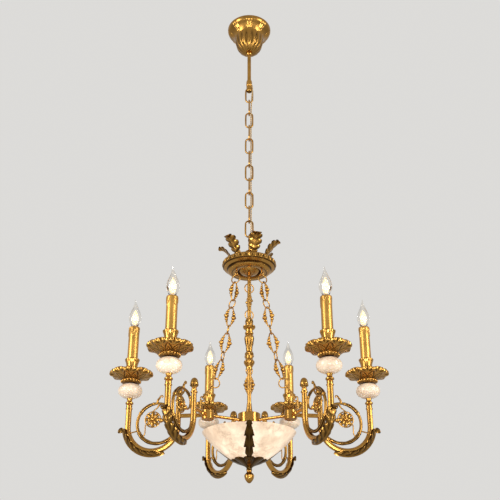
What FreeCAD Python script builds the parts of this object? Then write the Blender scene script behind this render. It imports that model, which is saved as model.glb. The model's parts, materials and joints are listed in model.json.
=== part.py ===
import FreeCAD, Part
import math
import os
import Sketcher

# A six-candle brass chandelier with an alabaster bowl under its centre, hung on a chain.
# Frame: origin in the ceiling plane on the vertical axis, +Z up, millimetres. Levels are
# heights in that frame, so they are negative.

os.makedirs("parts", exist_ok=True)
Vector = FreeCAD.Vector
doc = FreeCAD.newDocument("chandelier")

# ---------------------------------------------------------------- driving dimensions

DIMENSIONS = [
    # alias, value, meaning
    ("bracket_length", 104, "hat-shaped strap, end to end"),
    ("bracket_width", 24, "strap width"),
    ("bracket_drop", 16, "ceiling to the underside of the raised middle"),
    ("bracket_gauge", 2.5, "strap thickness"),
    ("bracket_foot", 22, "length of each foot on the ceiling"),
    ("screw_spacing", 84, "ceiling screw holes, centre to centre"),
    ("screw_hole_radius", 2.6, "ceiling screw holes"),
    ("stem_radius", 6, "stem tube, outside"),
    ("stem_bore", 3.6, "stem tube, inside radius"),
    ("stem_top", -4, "top end of the stem"),
    ("stem_end", -224, "bottom end of the stem"),
    ("canopy_radius", 72, "rolled rim of the canopy"),
    ("canopy_height", 101, "canopy, rim to neck"),
    ("canopy_level", -102, "neck of the canopy"),
    ("canopy_collar_radius", 10, "lock collar under the canopy"),
    ("clevis_radius", 9.5, "stem clevis, outside"),
    ("clevis_height", 44, "stem clevis"),
    ("clevis_slot", 6.4, "slot for the first link"),
    ("clevis_slot_depth", 26, "slot, from the lower end"),
    ("link_wire", 2.5, "main chain wire radius"),
    ("link_half_width", 11, "link centreline, half width"),
    ("link_half_length", 27.2, "link centreline, half length"),
    ("link_pitch", 49.1, "link centre to link centre"),
    ("first_link_level", -277, "centre of the first link"),
    ("joint_gap", 0.3, "free space between linked wires"),
    ("cord_radius", 2.1, "supply cord"),
    ("cord_side", 5.5, "cord axis beside the chain axis"),
    ("cord_swing", 12.2, "corner of the weave in front of and behind the chain"),
    ("crown_radius", 79, "rim of the crown"),
    ("crown_height", 44, "top plate to the under ring"),
    ("crown_level", -913, "lowest point of the under ring"),
    ("crown_dome_radius", 31.5, "dome under the crown"),
    ("crown_dome_height", 15, "dome under the crown"),
    ("crown_leaf_reach", 97, "leaf tip from the axis"),
    ("crown_leaf_spread", 26, "degrees that a leaf covers"),
    ("eyelet_radius", 5.5, "drape chain eyelets, centreline"),
    ("eyelet_wire", 1.6, "drape chain wire radius"),
    ("eyelet_stem", 2.2, "stem radius of an eyelet"),
    ("rod_radius", 5.5, "column rod"),
    ("baluster_radius", 17.5, "largest disc of the baluster"),
    ("baluster_height", 150, "baluster"),
    ("baluster_level", -1205, "bottom of the baluster"),
    ("flare_radius", 9.5, "flared foot of the rod"),
    ("flare_height", 28, "flared foot of the rod"),
    ("hub_radius", 30, "hub drum"),
    ("hub_height", 26.6, "hub drum"),
    ("hub_level", -1353.6, "underside of the hub drum"),
    ("spoke_radius", 4, "spokes"),
    ("spoke_level", -1346.5, "axis of the spokes and arm stubs"),
    ("boss_distance", 123, "arm boss from the axis"),
    ("boss_radius", 16, "arm boss"),
    ("boss_height", 24, "arm boss"),
    ("boss_level", -1358.5, "underside of the arm bosses"),
    ("candle_distance", 316.4, "candle axis from the centre"),
    ("candle_angle", 22.85, "candle beside its boss, degrees"),
    ("arm_tube", 7.6, "arm tube radius"),
    ("stub_tube", 5.5, "arm stub radius"),
    ("post_inset", 131, "inner post to outer post"),
    ("bend_level", -1371, "centre of the U bend"),
    ("inner_post_top", -1302, "top of the inner post"),
    ("outer_post_top", -1318, "top of the outer post"),
    ("nipple_radius", 4.5, "threaded rod through the candle stack"),
    ("nipple_top", -1176.6, "top of that rod"),
    ("stack_bore", 4.6, "bore through the candle stack"),
    ("sheath_width", 21, "leaf sheath round the bend"),
    ("sheath_gauge", 4, "leaf sheath thickness"),
    ("scroll_radius", 52.4, "C-scroll centreline"),
    ("scroll_tube", 4.6, "C-scroll tube radius"),
    ("scroll_curl_radius", 25, "inner end of the C-scroll"),
    ("scroll_level", -1364.2, "centre of the C-scroll"),
    ("scroll_inset", 77, "C-scroll centre to the outer post"),
    ("rosette_radius", 22, "rosette disc"),
    ("rosette_gauge", 7, "rosette disc thickness"),
    ("rosette_level", -1354, "centre of the rosette"),
    ("rosette_inset", 65, "rosette to the outer post"),
    ("acorn_radius", 11.5, "acorn finial"),
    ("acorn_height", 34, "acorn finial"),
    ("collar_radius", 10.4, "turned collar under the ball"),
    ("collar_height", 22, "turned collar"),
    ("ball_radius", 31.8, "stone ball"),
    ("ball_height", 40, "stone ball"),
    ("ball_level", -1296, "underside of the ball"),
    ("pan_radius", 59.9, "drip pan"),
    ("pan_height", 34, "drip pan"),
    ("pan_level", -1256, "underside of the drip pan"),
    ("cup_radius", 20, "candle cup"),
    ("cup_height", 49.96, "candle cup"),
    ("sleeve_radius", 14.2, "candle sleeve"),
    ("sleeve_wall", 1.6, "candle sleeve wall"),
    ("sleeve_height", 91, "candle sleeve"),
    ("sleeve_level", -1187, "lower end of the sleeve"),
    ("holder_radius", 11, "lamp holder"),
    ("holder_height", 76, "lamp holder"),
    ("holder_bore", 7.2, "lamp holder bore"),
    ("bulb_radius", 17.5, "flame bulb"),
    ("bulb_height", 110, "flame bulb with its cap"),
    ("bulb_level", -1122.5, "contact end of the bulb"),
    ("ring_radius", 13.5, "drape chain ring, centreline"),
    ("drape_pitch", 80.5, "ring to ring"),
    ("drape_start_radius", 44, "first ring from the axis"),
    ("drape_start_level", -941, "first ring"),
    ("drape_end_radius", 140, "boss eyelet from the axis"),
    ("drape_end_level", -1305, "boss eyelet"),
    ("openwork_half_width", 12, "openwork link, half width"),
    ("bowl_radius", 124, "alabaster bowl at its rim"),
    ("bowl_sphere", 138.3, "radius of the bowl's outside"),
    ("bowl_wall", 8, "bowl wall"),
    ("bowl_rim_level", -1378, "bowl rim"),
    ("bowl_hole", 6, "hole for the tie rod"),
    ("strap_width", 26, "leaf strap"),
    ("strap_gauge", 3, "leaf strap thickness"),
    ("bowl_cup_radius", 47, "metal cup under the bowl"),
    ("bowl_cup_level", -1474, "lower end of the metal cup"),
    ("tie_rod_radius", 4, "tie rod from hub to finial"),
    ("tie_rod_end", -1492, "lower end of the tie rod"),
    ("finial_radius", 13, "bottom finial"),
    ("finial_height", 34, "bottom finial"),
    ("finial_level", -1508, "tip of the bottom finial"),
    ("pin_lamp_radius", 7, "lamp inside the bowl"),
    ("pin_lamp_height", 50, "lamp inside the bowl with its base"),
    ("pin_lamp_distance", 18, "lamp inside the bowl from the axis"),
    ("pin_holder_radius", 10.5, "its holder"),
    ("pin_holder_height", 20, "its holder"),
    ("outline_unit", 100, "unit of the outlines that are given in real distances"),
]

sheet = doc.addObject("Spreadsheet::Sheet", "Dims")
for row, (alias, value, meaning) in enumerate(DIMENSIONS, start=1):
    sheet.set(f"A{row}", meaning)
    sheet.set(f"B{row}", str(value))
    sheet.setAlias(f"B{row}", alias)
doc.recompute()
size = {alias: float(sheet.get(alias)) for alias, _, _ in DIMENSIONS}

PAN_SEAT = 0.56  # seat of the candle cup, as a share of the drip pan's height
CROWN_PLATE = 0.86  # underside of the crown's top plate, as a share of its height
BOSS_AZIMUTHS = {"back": 90, "left": 210, "right": 330}
OUTLINE_UNIT = size["outline_unit"]
nodes = {}

# ---------------------------------------------------------------- helpers


def cell(alias):
    """The sheet's cell as an expression."""
    return f"Dims.{alias}"


def keep(label, item):
    """Registers a finished sub-part under its node name."""
    item.Label = label
    nodes[label] = item
    return item


def origin_plane(body, role):
    return [f for f in body.Origin.OriginFeatures if f.Role == role][0]


def outline_sketch(body, name, corners, x_cell, y_cell):
    """Closed outline on the body's XZ plane. A corner is (share of x_cell, share of y_cell, bulge):
    the bulge is the tangent of a quarter of the arc that leads to the next corner, 0 for a line."""
    sketch = body.newObject("Sketcher::SketchObject", name)
    sketch.AttachmentSupport = [(origin_plane(body, "XZ_Plane"), "")]
    sketch.MapMode = "FlatFace"
    wide, tall = size[x_cell], size[y_cell]
    points = [Vector(x * wide, y * tall, 0) for x, y, _ in corners]
    count = len(points)
    for i, (_, _, bulge) in enumerate(corners):
        start, end = points[i], points[(i + 1) % count]
        if bulge == 0:
            sketch.addGeometry(Part.LineSegment(start, end))
            continue
        chord = end - start
        side = Vector(chord.y, -chord.x, 0) * (bulge / 2)
        middle = (start + end) * 0.5 + side
        sketch.addGeometry(Part.Arc(start, middle, end))
    ends = []
    for i, (_, _, bulge) in enumerate(corners):
        # an arc runs anticlockwise in a sketch, so a clockwise one has its ends swapped
        ends.append((1, 2) if bulge >= 0 else (2, 1))
    for i in range(count):
        after = (i + 1) % count
        sketch.addConstraint(Sketcher.Constraint("Coincident", i, ends[i][1], after, ends[after][0]))
    for i, (x, y, bulge) in enumerate(corners):
        if x == 0:
            sketch.addConstraint(Sketcher.Constraint("PointOnObject", i, ends[i][0], -2))
        else:
            n = sketch.addConstraint(Sketcher.Constraint("DistanceX", -1, 1, i, ends[i][0], x * wide))
            sketch.setExpression(f"Constraints[{n}]", f"{cell(x_cell)} * {x}")
        if y == 0:
            sketch.addConstraint(Sketcher.Constraint("PointOnObject", i, ends[i][0], -1))
        else:
            n = sketch.addConstraint(Sketcher.Constraint("DistanceY", -1, 1, i, ends[i][0], y * tall))
            sketch.setExpression(f"Constraints[{n}]", f"{cell(y_cell)} * {y}")
        if bulge:
            next_x, next_y, _ = corners[(i + 1) % count]
            chord = (points[(i + 1) % count] - points[i]).Length
            factor = (1 + bulge * bulge) / (4 * abs(bulge))
            n = sketch.addConstraint(Sketcher.Constraint("Radius", i, chord * factor))
            run = f"({cell(x_cell)} * {next_x - x})"
            rise = f"({cell(y_cell)} * {next_y - y})"
            text = f"sqrt({run} * {run} + {rise} * {rise}) * {factor}"
            sketch.setExpression(f"Constraints[{n}]", text)
    return sketch


def turned(label, radius, height, corners, level=None, sweep=360.0):
    """A turned piece: its outline in shares of its radius and height, measured up from its foot."""
    body = doc.addObject("PartDesign::Body", label)
    sketch = outline_sketch(body, f"{label}_outline", corners, radius, height)
    turn = body.newObject("PartDesign::Revolution", f"{label}_turning")
    turn.Profile = sketch
    turn.ReferenceAxis = (sketch, ["V_Axis"])
    turn.Angle = sweep
    if sweep < 360:
        turn.Midplane = True
    if level is not None:
        body.setExpression(".Placement.Base.z", cell(level))
    return body


def plate(label, x_cell, y_cell, corners, width):
    """A flat outline in the XZ plane, padded to both sides of it."""
    body = doc.addObject("PartDesign::Body", label)
    sketch = outline_sketch(body, f"{label}_outline", corners, x_cell, y_cell)
    pad = body.newObject("PartDesign::Pad", f"{label}_pad")
    pad.Profile = sketch
    pad.Midplane = True
    pad.setExpression("Length", cell(width))
    return body


def rod(name, radius, start, end):
    """A cylinder from one point to another; radius is a cell."""
    item = doc.addObject("Part::Cylinder", name)
    start, end = Vector(*start), Vector(*end)
    item.setExpression("Radius", cell(radius))
    item.Height = (end - start).Length
    turn = FreeCAD.Rotation(Vector(0, 0, 1), end - start)
    item.Placement = FreeCAD.Placement(start, turn)
    return item


def upright(name, radius, base, top_cell, base_cell, scale=1.0):
    """A vertical cylinder between two level cells."""
    item = doc.addObject("Part::Cylinder", name)
    item.setExpression("Radius", f"{cell(radius)} * {scale}")
    item.setExpression("Height", f"{cell(top_cell)} - {cell(base_cell)}")
    item.Placement.Base = Vector(base[0], base[1], 0)
    item.setExpression(".Placement.Base.z", cell(base_cell))
    return item


def arc_tube(name, radius, tube, sweep, centre, turn):
    """Part of a torus: it starts on the turned X axis and sweeps about the turned Z axis."""
    item = doc.addObject("Part::Torus", name)
    item.setExpression("Radius1", cell(radius))
    item.setExpression("Radius2", cell(tube))
    item.Angle3 = sweep
    item.Placement = FreeCAD.Placement(Vector(*centre), turn)
    return item


def box(name, x_size, y_size, z_size, corner):
    item = doc.addObject("Part::Box", name)
    item.Length, item.Width, item.Height = x_size, y_size, z_size
    item.Placement.Base = Vector(*corner)
    return item


def fused(name, pieces):
    item = doc.addObject("Part::MultiFuse", name)
    item.Shapes = pieces
    return item


def cut(name, base, tool):
    item = doc.addObject("Part::Cut", name)
    item.Base = base
    item.Tool = tool
    return item


def group(label, pieces):
    """One node that holds several separate solids."""
    item = doc.addObject("Part::Compound", label)
    item.Links = pieces
    return keep(label, item)


def copies(label, base, placements):
    """One node made of copies of one piece."""
    links = []
    for i, where in enumerate(placements):
        link = doc.addObject("App::Link", f"{label}_copy_{i}")
        link.LinkedObject = base
        link.LinkTransform = True
        link.Placement = where
        links.append(link)
    return group(label, links)


def about_axis(azimuth):
    return FreeCAD.Placement(Vector(0, 0, 0), FreeCAD.Rotation(Vector(0, 0, 1), azimuth))


def plane_turn(first, second):
    """The rotation that takes X to first and Y to second."""
    first, second = Vector(*first), Vector(*second)
    return FreeCAD.Rotation(first, second, first.cross(second), "XYZ")


# ---------------------------------------------------------------- supply cord


def tube_along(corners, radius):
    """A round tube on straight runs joined by tangent arcs, each 0.45 of the shorter run."""
    points = [Vector(*c) for c in corners]
    edges = []
    last = points[0]
    for before, corner, after in zip(points, points[1:], points[2:]):
        come, go = corner - before, after - corner
        half_turn = come.getAngle(go) / 2
        reach = 0.45 * min(come.Length, go.Length)
        start = corner - Vector(come).normalize() * reach
        end = corner + Vector(go).normalize() * reach
        bend = reach / math.tan(half_turn)
        to_middle = bend / math.cos(half_turn) - bend
        inward = (Vector(go).normalize() - Vector(come).normalize()).normalize()
        edges.append(Part.LineSegment(last, start).toShape())
        edges.append(Part.Arc(start, corner + inward * to_middle, end).toShape())
        last = end
        print("cord bend radius", round(bend, 1))
    edges.append(Part.LineSegment(last, points[-1]).toShape())
    path = Part.Wire(edges)
    circle = Part.Circle(points[0], points[1] - points[0], radius)
    section = Part.Wire([circle.toShape()])
    tube = path.makePipeShell([section], True, False)
    print("cord length", round(path.Length, 1), "volume", round(tube.Volume), "by section",
          round(math.pi * radius ** 2 * path.Length))
    return tube


def cord_route():
    """Down the stem, out through the clevis wall, woven through the links and into the crown."""
    side, swing = size["cord_side"], size["cord_swing"]
    level = size["first_link_level"] - size["link_pitch"]
    route = [(0, 0, -60), (0, 0, -228), (12.6, -6.9, -241.5)]
    for i in range(6):
        way = -1 if i % 2 == 0 else 1
        route.append((side, way * swing, level - 2 * i * size["link_pitch"]))
    top = size["crown_level"] + size["crown_height"]
    return route + [(11, 9.5, top + 20), (11, 9.5, top - 3)]


def make_cord():
    """The cord and the wider tube that clears its way through the metal."""
    node = doc.addObject("Part::Feature", "supply_cord")
    node.Shape = tube_along(cord_route(), size["cord_radius"])
    keep("supply_cord", node)
    passage = doc.addObject("Part::Feature", "cord_passage")
    passage.Shape = tube_along(cord_route(), size["cord_radius"] + 0.45)
    return passage


# ---------------------------------------------------------------- ceiling end


def make_bracket():
    """Hat-shaped strap: two feet on the ceiling, a raised middle with the stem hole."""
    half = 0.5
    foot = 0.5 - size["bracket_foot"] / size["bracket_length"]
    inner = foot - size["bracket_gauge"] / size["bracket_length"]
    gauge = size["bracket_gauge"] / size["bracket_drop"]
    corners = [
        (-half, 0, 0), (-foot, 0, 0), (-foot, -1 + gauge, 0), (foot, -1 + gauge, 0), (foot, 0, 0), (half, 0, 0),
        (half, -gauge, 0), (foot + gauge * 0.08, -gauge, 0), (foot + gauge * 0.08, -1, 0),
        (-foot - gauge * 0.08, -1, 0), (-foot - gauge * 0.08, -gauge, 0), (-half, -gauge, 0),
    ]
    strap = plate("bracket_strap", "bracket_length", "bracket_drop", corners, "bracket_width")
    holes = [upright("stem_hole", "stem_radius", (0, 0), "stem_top", "canopy_level", 1.01)]
    for side in (-1, 1):
        where = (side * size["screw_spacing"] / 2, 0)
        hole = doc.addObject("Part::Cylinder", "screw_hole")
        hole.setExpression("Radius", cell("screw_hole_radius"))
        hole.Height = size["bracket_drop"]
        hole.Placement.Base = Vector(where[0], where[1], -size["bracket_drop"] / 2)
        holes.append(hole)
    keep("ceiling_bracket", cut("bracket_drilled", strap, fused("bracket_holes", holes)))


def make_stem(passage):
    """Stem tube with two nuts that clamp the strap, the terminal block and the clevis below."""
    tube = upright("stem_solid", "stem_radius", (0, 0), "stem_top", "stem_end")
    bore = upright("stem_hollow", "stem_bore", (0, 0), "bracket_drop", "canopy_level")
    bore.setExpression("Height", f"{cell('stem_top')} - {cell('stem_end')} + 10")
    bore.setExpression(".Placement.Base.z", f"{cell('stem_end')} - 5")
    keep("canopy_stem", cut("stem_tube", tube, fused("stem_voids", [bore, passage])))
    drop, gauge = size["bracket_drop"], size["bracket_gauge"]
    nuts = []
    for base in (-drop + gauge, -drop - 6):
        nut = doc.addObject("Part::Prism", "stem_nut")
        nut.Polygon = 6
        nut.Circumradius = 11
        nut.Height = 6
        nut.Placement.Base = Vector(0, 0, base)
        nuts.append(nut)
    hole = upright("nut_hole", "stem_radius", (0, 0), "stem_top", "canopy_level", 1.01)
    keep("stem_nuts", cut("stem_nuts_threaded", fused("nut_pair", nuts), hole))
    block = box("block_body", 34, 14, 13, (12, -7, -drop - 13))
    mouths = [box("block_mouth", 6, 16, 6, (15 + 10 * i, -8, -drop - 9)) for i in range(3)]
    keep("terminal_block", cut("block_with_mouths", block, fused("block_mouths", mouths)))


def make_clevis(passage):
    """Turned collar on the stem's end, slotted for the first link, with its cross pin."""
    corners = [
        (0, 0, 0), (0.82, 0, 0), (0.96, 0.05, 0), (1, 0.12, 0), (1, 0.4, 0), (0.88, 0.44, 0),
        (0.88, 0.5, 0), (1, 0.54, 0), (1, 0.86, 0), (0.84, 1, 0), (0, 1, 0),
    ]
    body = turned("clevis_turning", "clevis_radius", "clevis_height", corners)
    base = size["stem_end"] + 6 - size["clevis_height"]
    body.Placement.Base = Vector(0, 0, base)
    depth = size["clevis_slot_depth"]
    slot = box("clevis_slot", 30, size["clevis_slot"], depth + 1, (-15, -size["clevis_slot"] / 2, base - 1))
    socket = upright("clevis_socket", "stem_radius", (0, 0), "canopy_level", "stem_end", 1.0)
    pin_level = size["first_link_level"] + size["link_half_length"] - 2 * size["link_wire"] - size["joint_gap"]
    pin_hole = doc.addObject("Part::Cylinder", "clevis_pin_hole")
    pin_hole.setExpression("Radius", cell("link_wire"))
    pin_hole.Height = 40
    pin_hole.Placement = FreeCAD.Placement(Vector(0, -20, pin_level), FreeCAD.Rotation(Vector(1, 0, 0), -90))
    keep("stem_clevis", cut("clevis_cut", body, fused("clevis_voids", [slot, socket, passage, pin_hole])))
    reach = size["clevis_radius"] + 0.8
    pin = rod("clevis_pin_shank", "link_wire", (0, -reach, pin_level), (0, reach, pin_level))
    keep("clevis_pin", pin)


def make_canopy():
    """Spun shell: rolled rim, waist, bell that narrows to the stem, open at the ceiling."""
    wall = 0.025
    outside = [
        (0.093, 0, 0), (0.2, 0, 0), (0.34, 0.05, 0), (0.52, 0.18, 0), (0.62, 0.36, 0), (0.655, 0.56, 0),
        (0.7, 0.66, 0), (0.84, 0.79, 0), (0.965, 0.87, 0), (1, 0.935, 0), (0.96, 0.985, 0), (0.86, 1, 0),
    ]
    inside = [(x - wall * 1.3, y + wall * 1.2, 0) for x, y, _ in reversed(outside[1:9])]
    inside = [(0.82, 0.965, 0)] + inside[:-1] + [(0.093, inside[-1][1], 0)]
    body = turned("canopy_shell", "canopy_radius", "canopy_height", outside + inside, "canopy_level")
    keep("canopy", body)
    ring = [(0.64, 0, 0), (0.8, 0, 0), (1, 0.3, 0), (1, 0.7, 0), (0.85, 1, 0), (0.64, 1, 0)]
    collar = turned("collar_turning", "canopy_collar_radius", "canopy_collar_radius", ring)
    collar.setExpression(".Placement.Base.z", f"{cell('canopy_level')} - {cell('canopy_collar_radius')}")
    keep("canopy_collar", collar)


# ---------------------------------------------------------------- chain


def make_chain():
    """Twelve equal links, turned a quarter from one to the next."""
    width, length = size["link_half_width"], size["link_half_length"]
    straight = length - width
    pieces = []
    for side in (-1, 1):
        pieces.append(rod("link_side", "link_wire", (side * width, 0, -straight), (side * width, 0, straight)))
        turn = plane_turn((side, 0, 0), (0, 0, side))
        pieces.append(arc_tube("link_end", "link_half_width", "link_wire", 180, (0, 0, side * straight), turn))
    link = fused("link_master", pieces)
    for i in range(12):
        level = size["first_link_level"] - i * size["link_pitch"]
        turn = FreeCAD.Rotation(Vector(0, 0, 1), 90 * (i % 2))
        copies(f"chain_link_{i + 1:02d}", link, [FreeCAD.Placement(Vector(0, 0, level), turn)])


# ---------------------------------------------------------------- crown


def make_crown(passage):
    """Top loop, dish seen from below, six rising leaves and the dome that the rod enters."""
    wire, half, pitch = size["link_wire"], size["link_half_length"], size["link_pitch"]
    pivot = size["first_link_level"] - 11 * pitch - half
    loop_top = pivot + 2 * wire + size["joint_gap"]
    centre = loop_top - size["link_half_width"]
    ring = arc_tube("crown_ring", "link_half_width", "link_wire", 360, (0, 0, centre), plane_turn((1, 0, 0), (0, 0, 1)))
    neck_top = centre - size["link_half_width"] + 1
    neck = doc.addObject("Part::Cone", "crown_neck")
    plate_level = size["crown_level"] + size["crown_height"]
    neck.Radius1, neck.Radius2 = 7, 3.4
    neck.Height = neck_top - plate_level
    neck.Placement.Base = Vector(0, 0, plate_level)
    keep("crown_loop", fused("crown_loop_fused", [ring, neck]))
    corners = [
        (0, CROWN_PLATE, 0), (0.4, CROWN_PLATE, 0), (0.4, 0.1, 0), (0.6, 0, 0), (0.72, 0.02, 0), (0.79, 0.12, 0), (0.8, 0.25, 0),
        (0.93, 0.34, 0), (0.985, 0.42, 0), (1, 0.54, 0), (1, 0.64, 0), (0.96, 0.75, 0), (0.93, 0.72, 0),
        (0.92, 0.5, 0), (0.76, 0.36, 0), (0.7, 0.3, 0), (0.68, 0.8, 0), (0.62, 1, 0), (0, 1, 0),
    ]
    dish = turned("crown_turning", "crown_radius", "crown_height", corners, "crown_level")
    keep("crown_dish", cut("crown_with_cord_hole", dish, passage))
    bore = size["rod_radius"] * 1.005 / size["crown_dome_radius"]
    dome = [(bore, 0, 0), (0.45, 0.03, 0), (0.75, 0.2, 0), (0.9, 0.5, 0), (1, 0.8, 0), (1, 1.2, 0), (bore, 1.2, 0)]
    under = turned("dome_turning", "crown_dome_radius", "crown_dome_height", dome)
    under.setExpression(".Placement.Base.z", f"{cell('crown_level')} - 3")
    keep("crown_dome", under)


def make_crown_leaves():
    """A leaf is a curved strip turned through its spread, trimmed by an ellipsoid."""
    reach = size["crown_leaf_reach"]
    base = size["crown_level"] + size["crown_height"]
    strip = [(0.47, 0, 0), (0.6, 0.28, 0), (0.7, 0.62, 0), (0.84, 0.9, 0), (0.95, 1, 0), (1, 0.98, 0),
             (1, 1.04, 0), (0.94, 1.08, 0), (0.81, 0.98, 0), (0.66, 0.7, 0), (0.56, 0.34, 0), (0.43, 0, 0)]
    sheet_of_leaf = turned("leaf_strip", "crown_leaf_reach", "crown_height", strip,
                           sweep=size["crown_leaf_spread"])
    sheet_of_leaf.Placement.Base = Vector(0, 0, base)
    trim = doc.addObject("Part::Ellipsoid", "leaf_trim")
    trim.Radius1, trim.Radius2, trim.Radius3 = 60, 0.42 * reach, 0.175 * reach
    trim.Placement.Base = Vector(0.7 * reach, 0, base + 0.5 * size["crown_height"])
    leaf = doc.addObject("Part::Common", "leaf_master")
    leaf.Base, leaf.Tool = sheet_of_leaf, trim
    copies("crown_leaves", leaf, [about_axis(az) for az in range(-75, 285, 60)])


# ---------------------------------------------------------------- column and hub


def make_column():
    rod_item = upright("rod_shaft", "rod_radius", (0, 0), "crown_level", "hub_level")
    top = f"{cell('crown_level')} + {cell('crown_height')} * {CROWN_PLATE}"
    rod_item.setExpression("Height", f"{top} - {cell('hub_level')} - {cell('hub_height')}")
    rod_item.setExpression(".Placement.Base.z", f"{cell('hub_level')} + {cell('hub_height')}")
    keep("column_rod", rod_item)
    bore = size["rod_radius"] * 1.005 / size["baluster_radius"]
    baluster = [
        (bore, 0, 0), (0.45, 0, 0), (0.48, 0.05, 0), (0.72, 0.1, 0), (0.86, 0.13, 0), (0.86, 0.16, 0), (0.6, 0.2, 0),
        (0.6, 0.27, 0), (0.7, 0.29, 0), (0.7, 0.32, 0), (0.5, 0.35, 0), (0.55, 0.45, 0), (0.72, 0.55, 0),
        (0.8, 0.61, 0), (0.72, 0.66, 0), (0.56, 0.68, 0), (0.7, 0.7, 0), (0.7, 0.72, 0), (0.58, 0.735, 0),
        (0.6, 0.78, 0), (0.86, 0.8, 0), (1, 0.82, 0), (1, 0.85, 0), (0.8, 0.87, 0), (0.62, 0.88, 0),
        (0.66, 0.94, 0), (0.66, 0.96, 0), (0.5, 1, 0), (bore, 1, 0),
    ]
    keep("baluster", turned("baluster_turning", "baluster_radius", "baluster_height", baluster, "baluster_level"))
    bore = size["rod_radius"] * 1.005 / size["flare_radius"]
    flare = [(bore, 0, 0), (1, 0, 0), (1, 0.1, 0), (0.86, 0.4, 0), (0.72, 0.8, 0), (0.66, 1, 0), (bore, 1, 0)]
    body = turned("flare_turning", "flare_radius", "flare_height", flare)
    body.setExpression(".Placement.Base.z", f"{cell('hub_level')} + {cell('hub_height')}")
    keep("rod_flare", body)


def make_hub():
    drum = [(0, 0, 0), (0.96, 0, 0), (1, 0.05, 0), (1, 0.95, 0), (0.96, 1, 0), (0, 1, 0)]
    keep("hub_drum", turned("drum_turning", "hub_radius", "hub_height", drum, "hub_level"))
    level = size["spoke_level"]
    spokes, bosses = [], []
    for azimuth in BOSS_AZIMUTHS.values():
        ray = (math.cos(math.radians(azimuth)), math.sin(math.radians(azimuth)))
        near, far = size["hub_radius"] - 1, size["boss_distance"] - size["boss_radius"] + 1
        spokes.append(rod("spoke", "spoke_radius", (ray[0] * near, ray[1] * near, level),
                          (ray[0] * far, ray[1] * far, level)))
    group("hub_spokes", spokes)
    boss = [(0, 0, 0), (0.94, 0, 0), (1, 0.05, 0), (1, 0.95, 0), (0.94, 1, 0), (0, 1, 0)]
    body = turned("boss_turning", "boss_radius", "boss_height", boss, "boss_level")
    body.setExpression(".Placement.Base.x", cell("boss_distance"))
    lug = box("boss_lug", 16, 7, 8, (size["boss_distance"] + 8, -3.5, level - 1))
    copies("arm_bosses", fused("boss_with_lug", [body, lug]), [about_axis(az) for az in BOSS_AZIMUTHS.values()])
    keep("tie_rod", upright("tie_rod_shaft", "tie_rod_radius", (0, 0), "hub_level", "tie_rod_end"))


# ---------------------------------------------------------------- arms


def arm_frame():
    """Boss centre, direction and length of an arm whose boss lies on +X."""
    boss = Vector(size["boss_distance"], 0, 0)
    angle = math.radians(size["candle_angle"])
    candle = Vector(size["candle_distance"] * math.cos(angle), size["candle_distance"] * math.sin(angle), 0)
    reach = candle - boss
    return math.degrees(math.atan2(reach.y, reach.x)), reach.Length


ARM_TURN, ARM_REACH = arm_frame()


def arm_placements(azimuths=None):
    """Placements that take a piece drawn along +X from a boss centre to each arm."""
    found = []
    for azimuth in azimuths or BOSS_AZIMUTHS.values():
        for side in (-1, 1):
            foot = about_axis(azimuth).multVec(Vector(size["boss_distance"], 0, 0))
            found.append(FreeCAD.Placement(foot, FreeCAD.Rotation(Vector(0, 0, 1), azimuth + side * ARM_TURN)))
    return found


def candle_placements():
    """The candle axes, as placements of a piece drawn on the Z axis."""
    return [p.multiply(FreeCAD.Placement(Vector(ARM_REACH, 0, 0), FreeCAD.Rotation())) for p in arm_placements()]


def make_arms():
    """Stub, inner post, U bend, outer post and the threaded rod of the candle stack."""
    inner = ARM_REACH - size["post_inset"]
    bend, level = size["bend_level"], size["spoke_level"]
    pieces = [
        rod("arm_stub", "stub_tube", (size["boss_radius"] - 1, 0, level), (inner, 0, level)),
        upright("inner_post", "arm_tube", (inner, 0), "inner_post_top", "bend_level", 0.92),
        upright("outer_post", "arm_tube", (ARM_REACH, 0), "outer_post_top", "bend_level"),
        upright("nipple", "nipple_radius", (ARM_REACH, 0), "nipple_top", "outer_post_top"),
    ]
    half = doc.addObject("Part::Torus", "arm_bend")
    half.setExpression("Radius1", f"{cell('post_inset')} / 2")
    half.setExpression("Radius2", cell("arm_tube"))
    half.Angle3 = 180
    centre = Vector(inner + size["post_inset"] / 2, 0, bend)
    half.Placement = FreeCAD.Placement(centre, plane_turn((-1, 0, 0), (0, 0, -1)))
    arm = fused("arm_master", pieces + [half])
    for name, azimuth in BOSS_AZIMUTHS.items():
        copies(f"arm_pair_{name}", arm, arm_placements([azimuth]))


def make_sheaths():
    """Leaf that wraps the outer side of the bend; its tip turns outwards beside the post."""
    radius = size["post_inset"] / 2 + size["arm_tube"] + 0.2
    gauge = size["sheath_gauge"]
    start, end = math.radians(-112), math.radians(-8)
    bulge = math.tan((end - start) / 4)

    def on(r, angle):
        return (r * math.cos(angle) / OUTLINE_UNIT, r * math.sin(angle) / OUTLINE_UNIT)

    (ax, ay), (bx, by) = on(radius, start), on(radius, end)
    (cx, cy), (dx, dy) = on(radius + gauge, end - 0.05), on(radius + gauge, start)
    corners = [
        (ax, ay, bulge), (bx, by, 0), (bx + 0.06, by + 0.07, 0), (bx + 0.15, by + 0.075, 0),
        (bx + 0.2, by + 0.02, 0), (bx + 0.165, by + 0.0, 0), (bx + 0.13, by + 0.03, 0), (bx + 0.08, by + 0.02, 0),
        (cx, cy, -math.tan((end - 0.05 - start) / 4)), (dx, dy, 0),
    ]
    body = plate("sheath_strip", "outline_unit", "outline_unit", corners, "sheath_width")
    centre = ARM_REACH - size["post_inset"] / 2
    body.Placement.Base = Vector(centre, 0, size["bend_level"])
    copies("leaf_sheaths", body, arm_placements())


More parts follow.
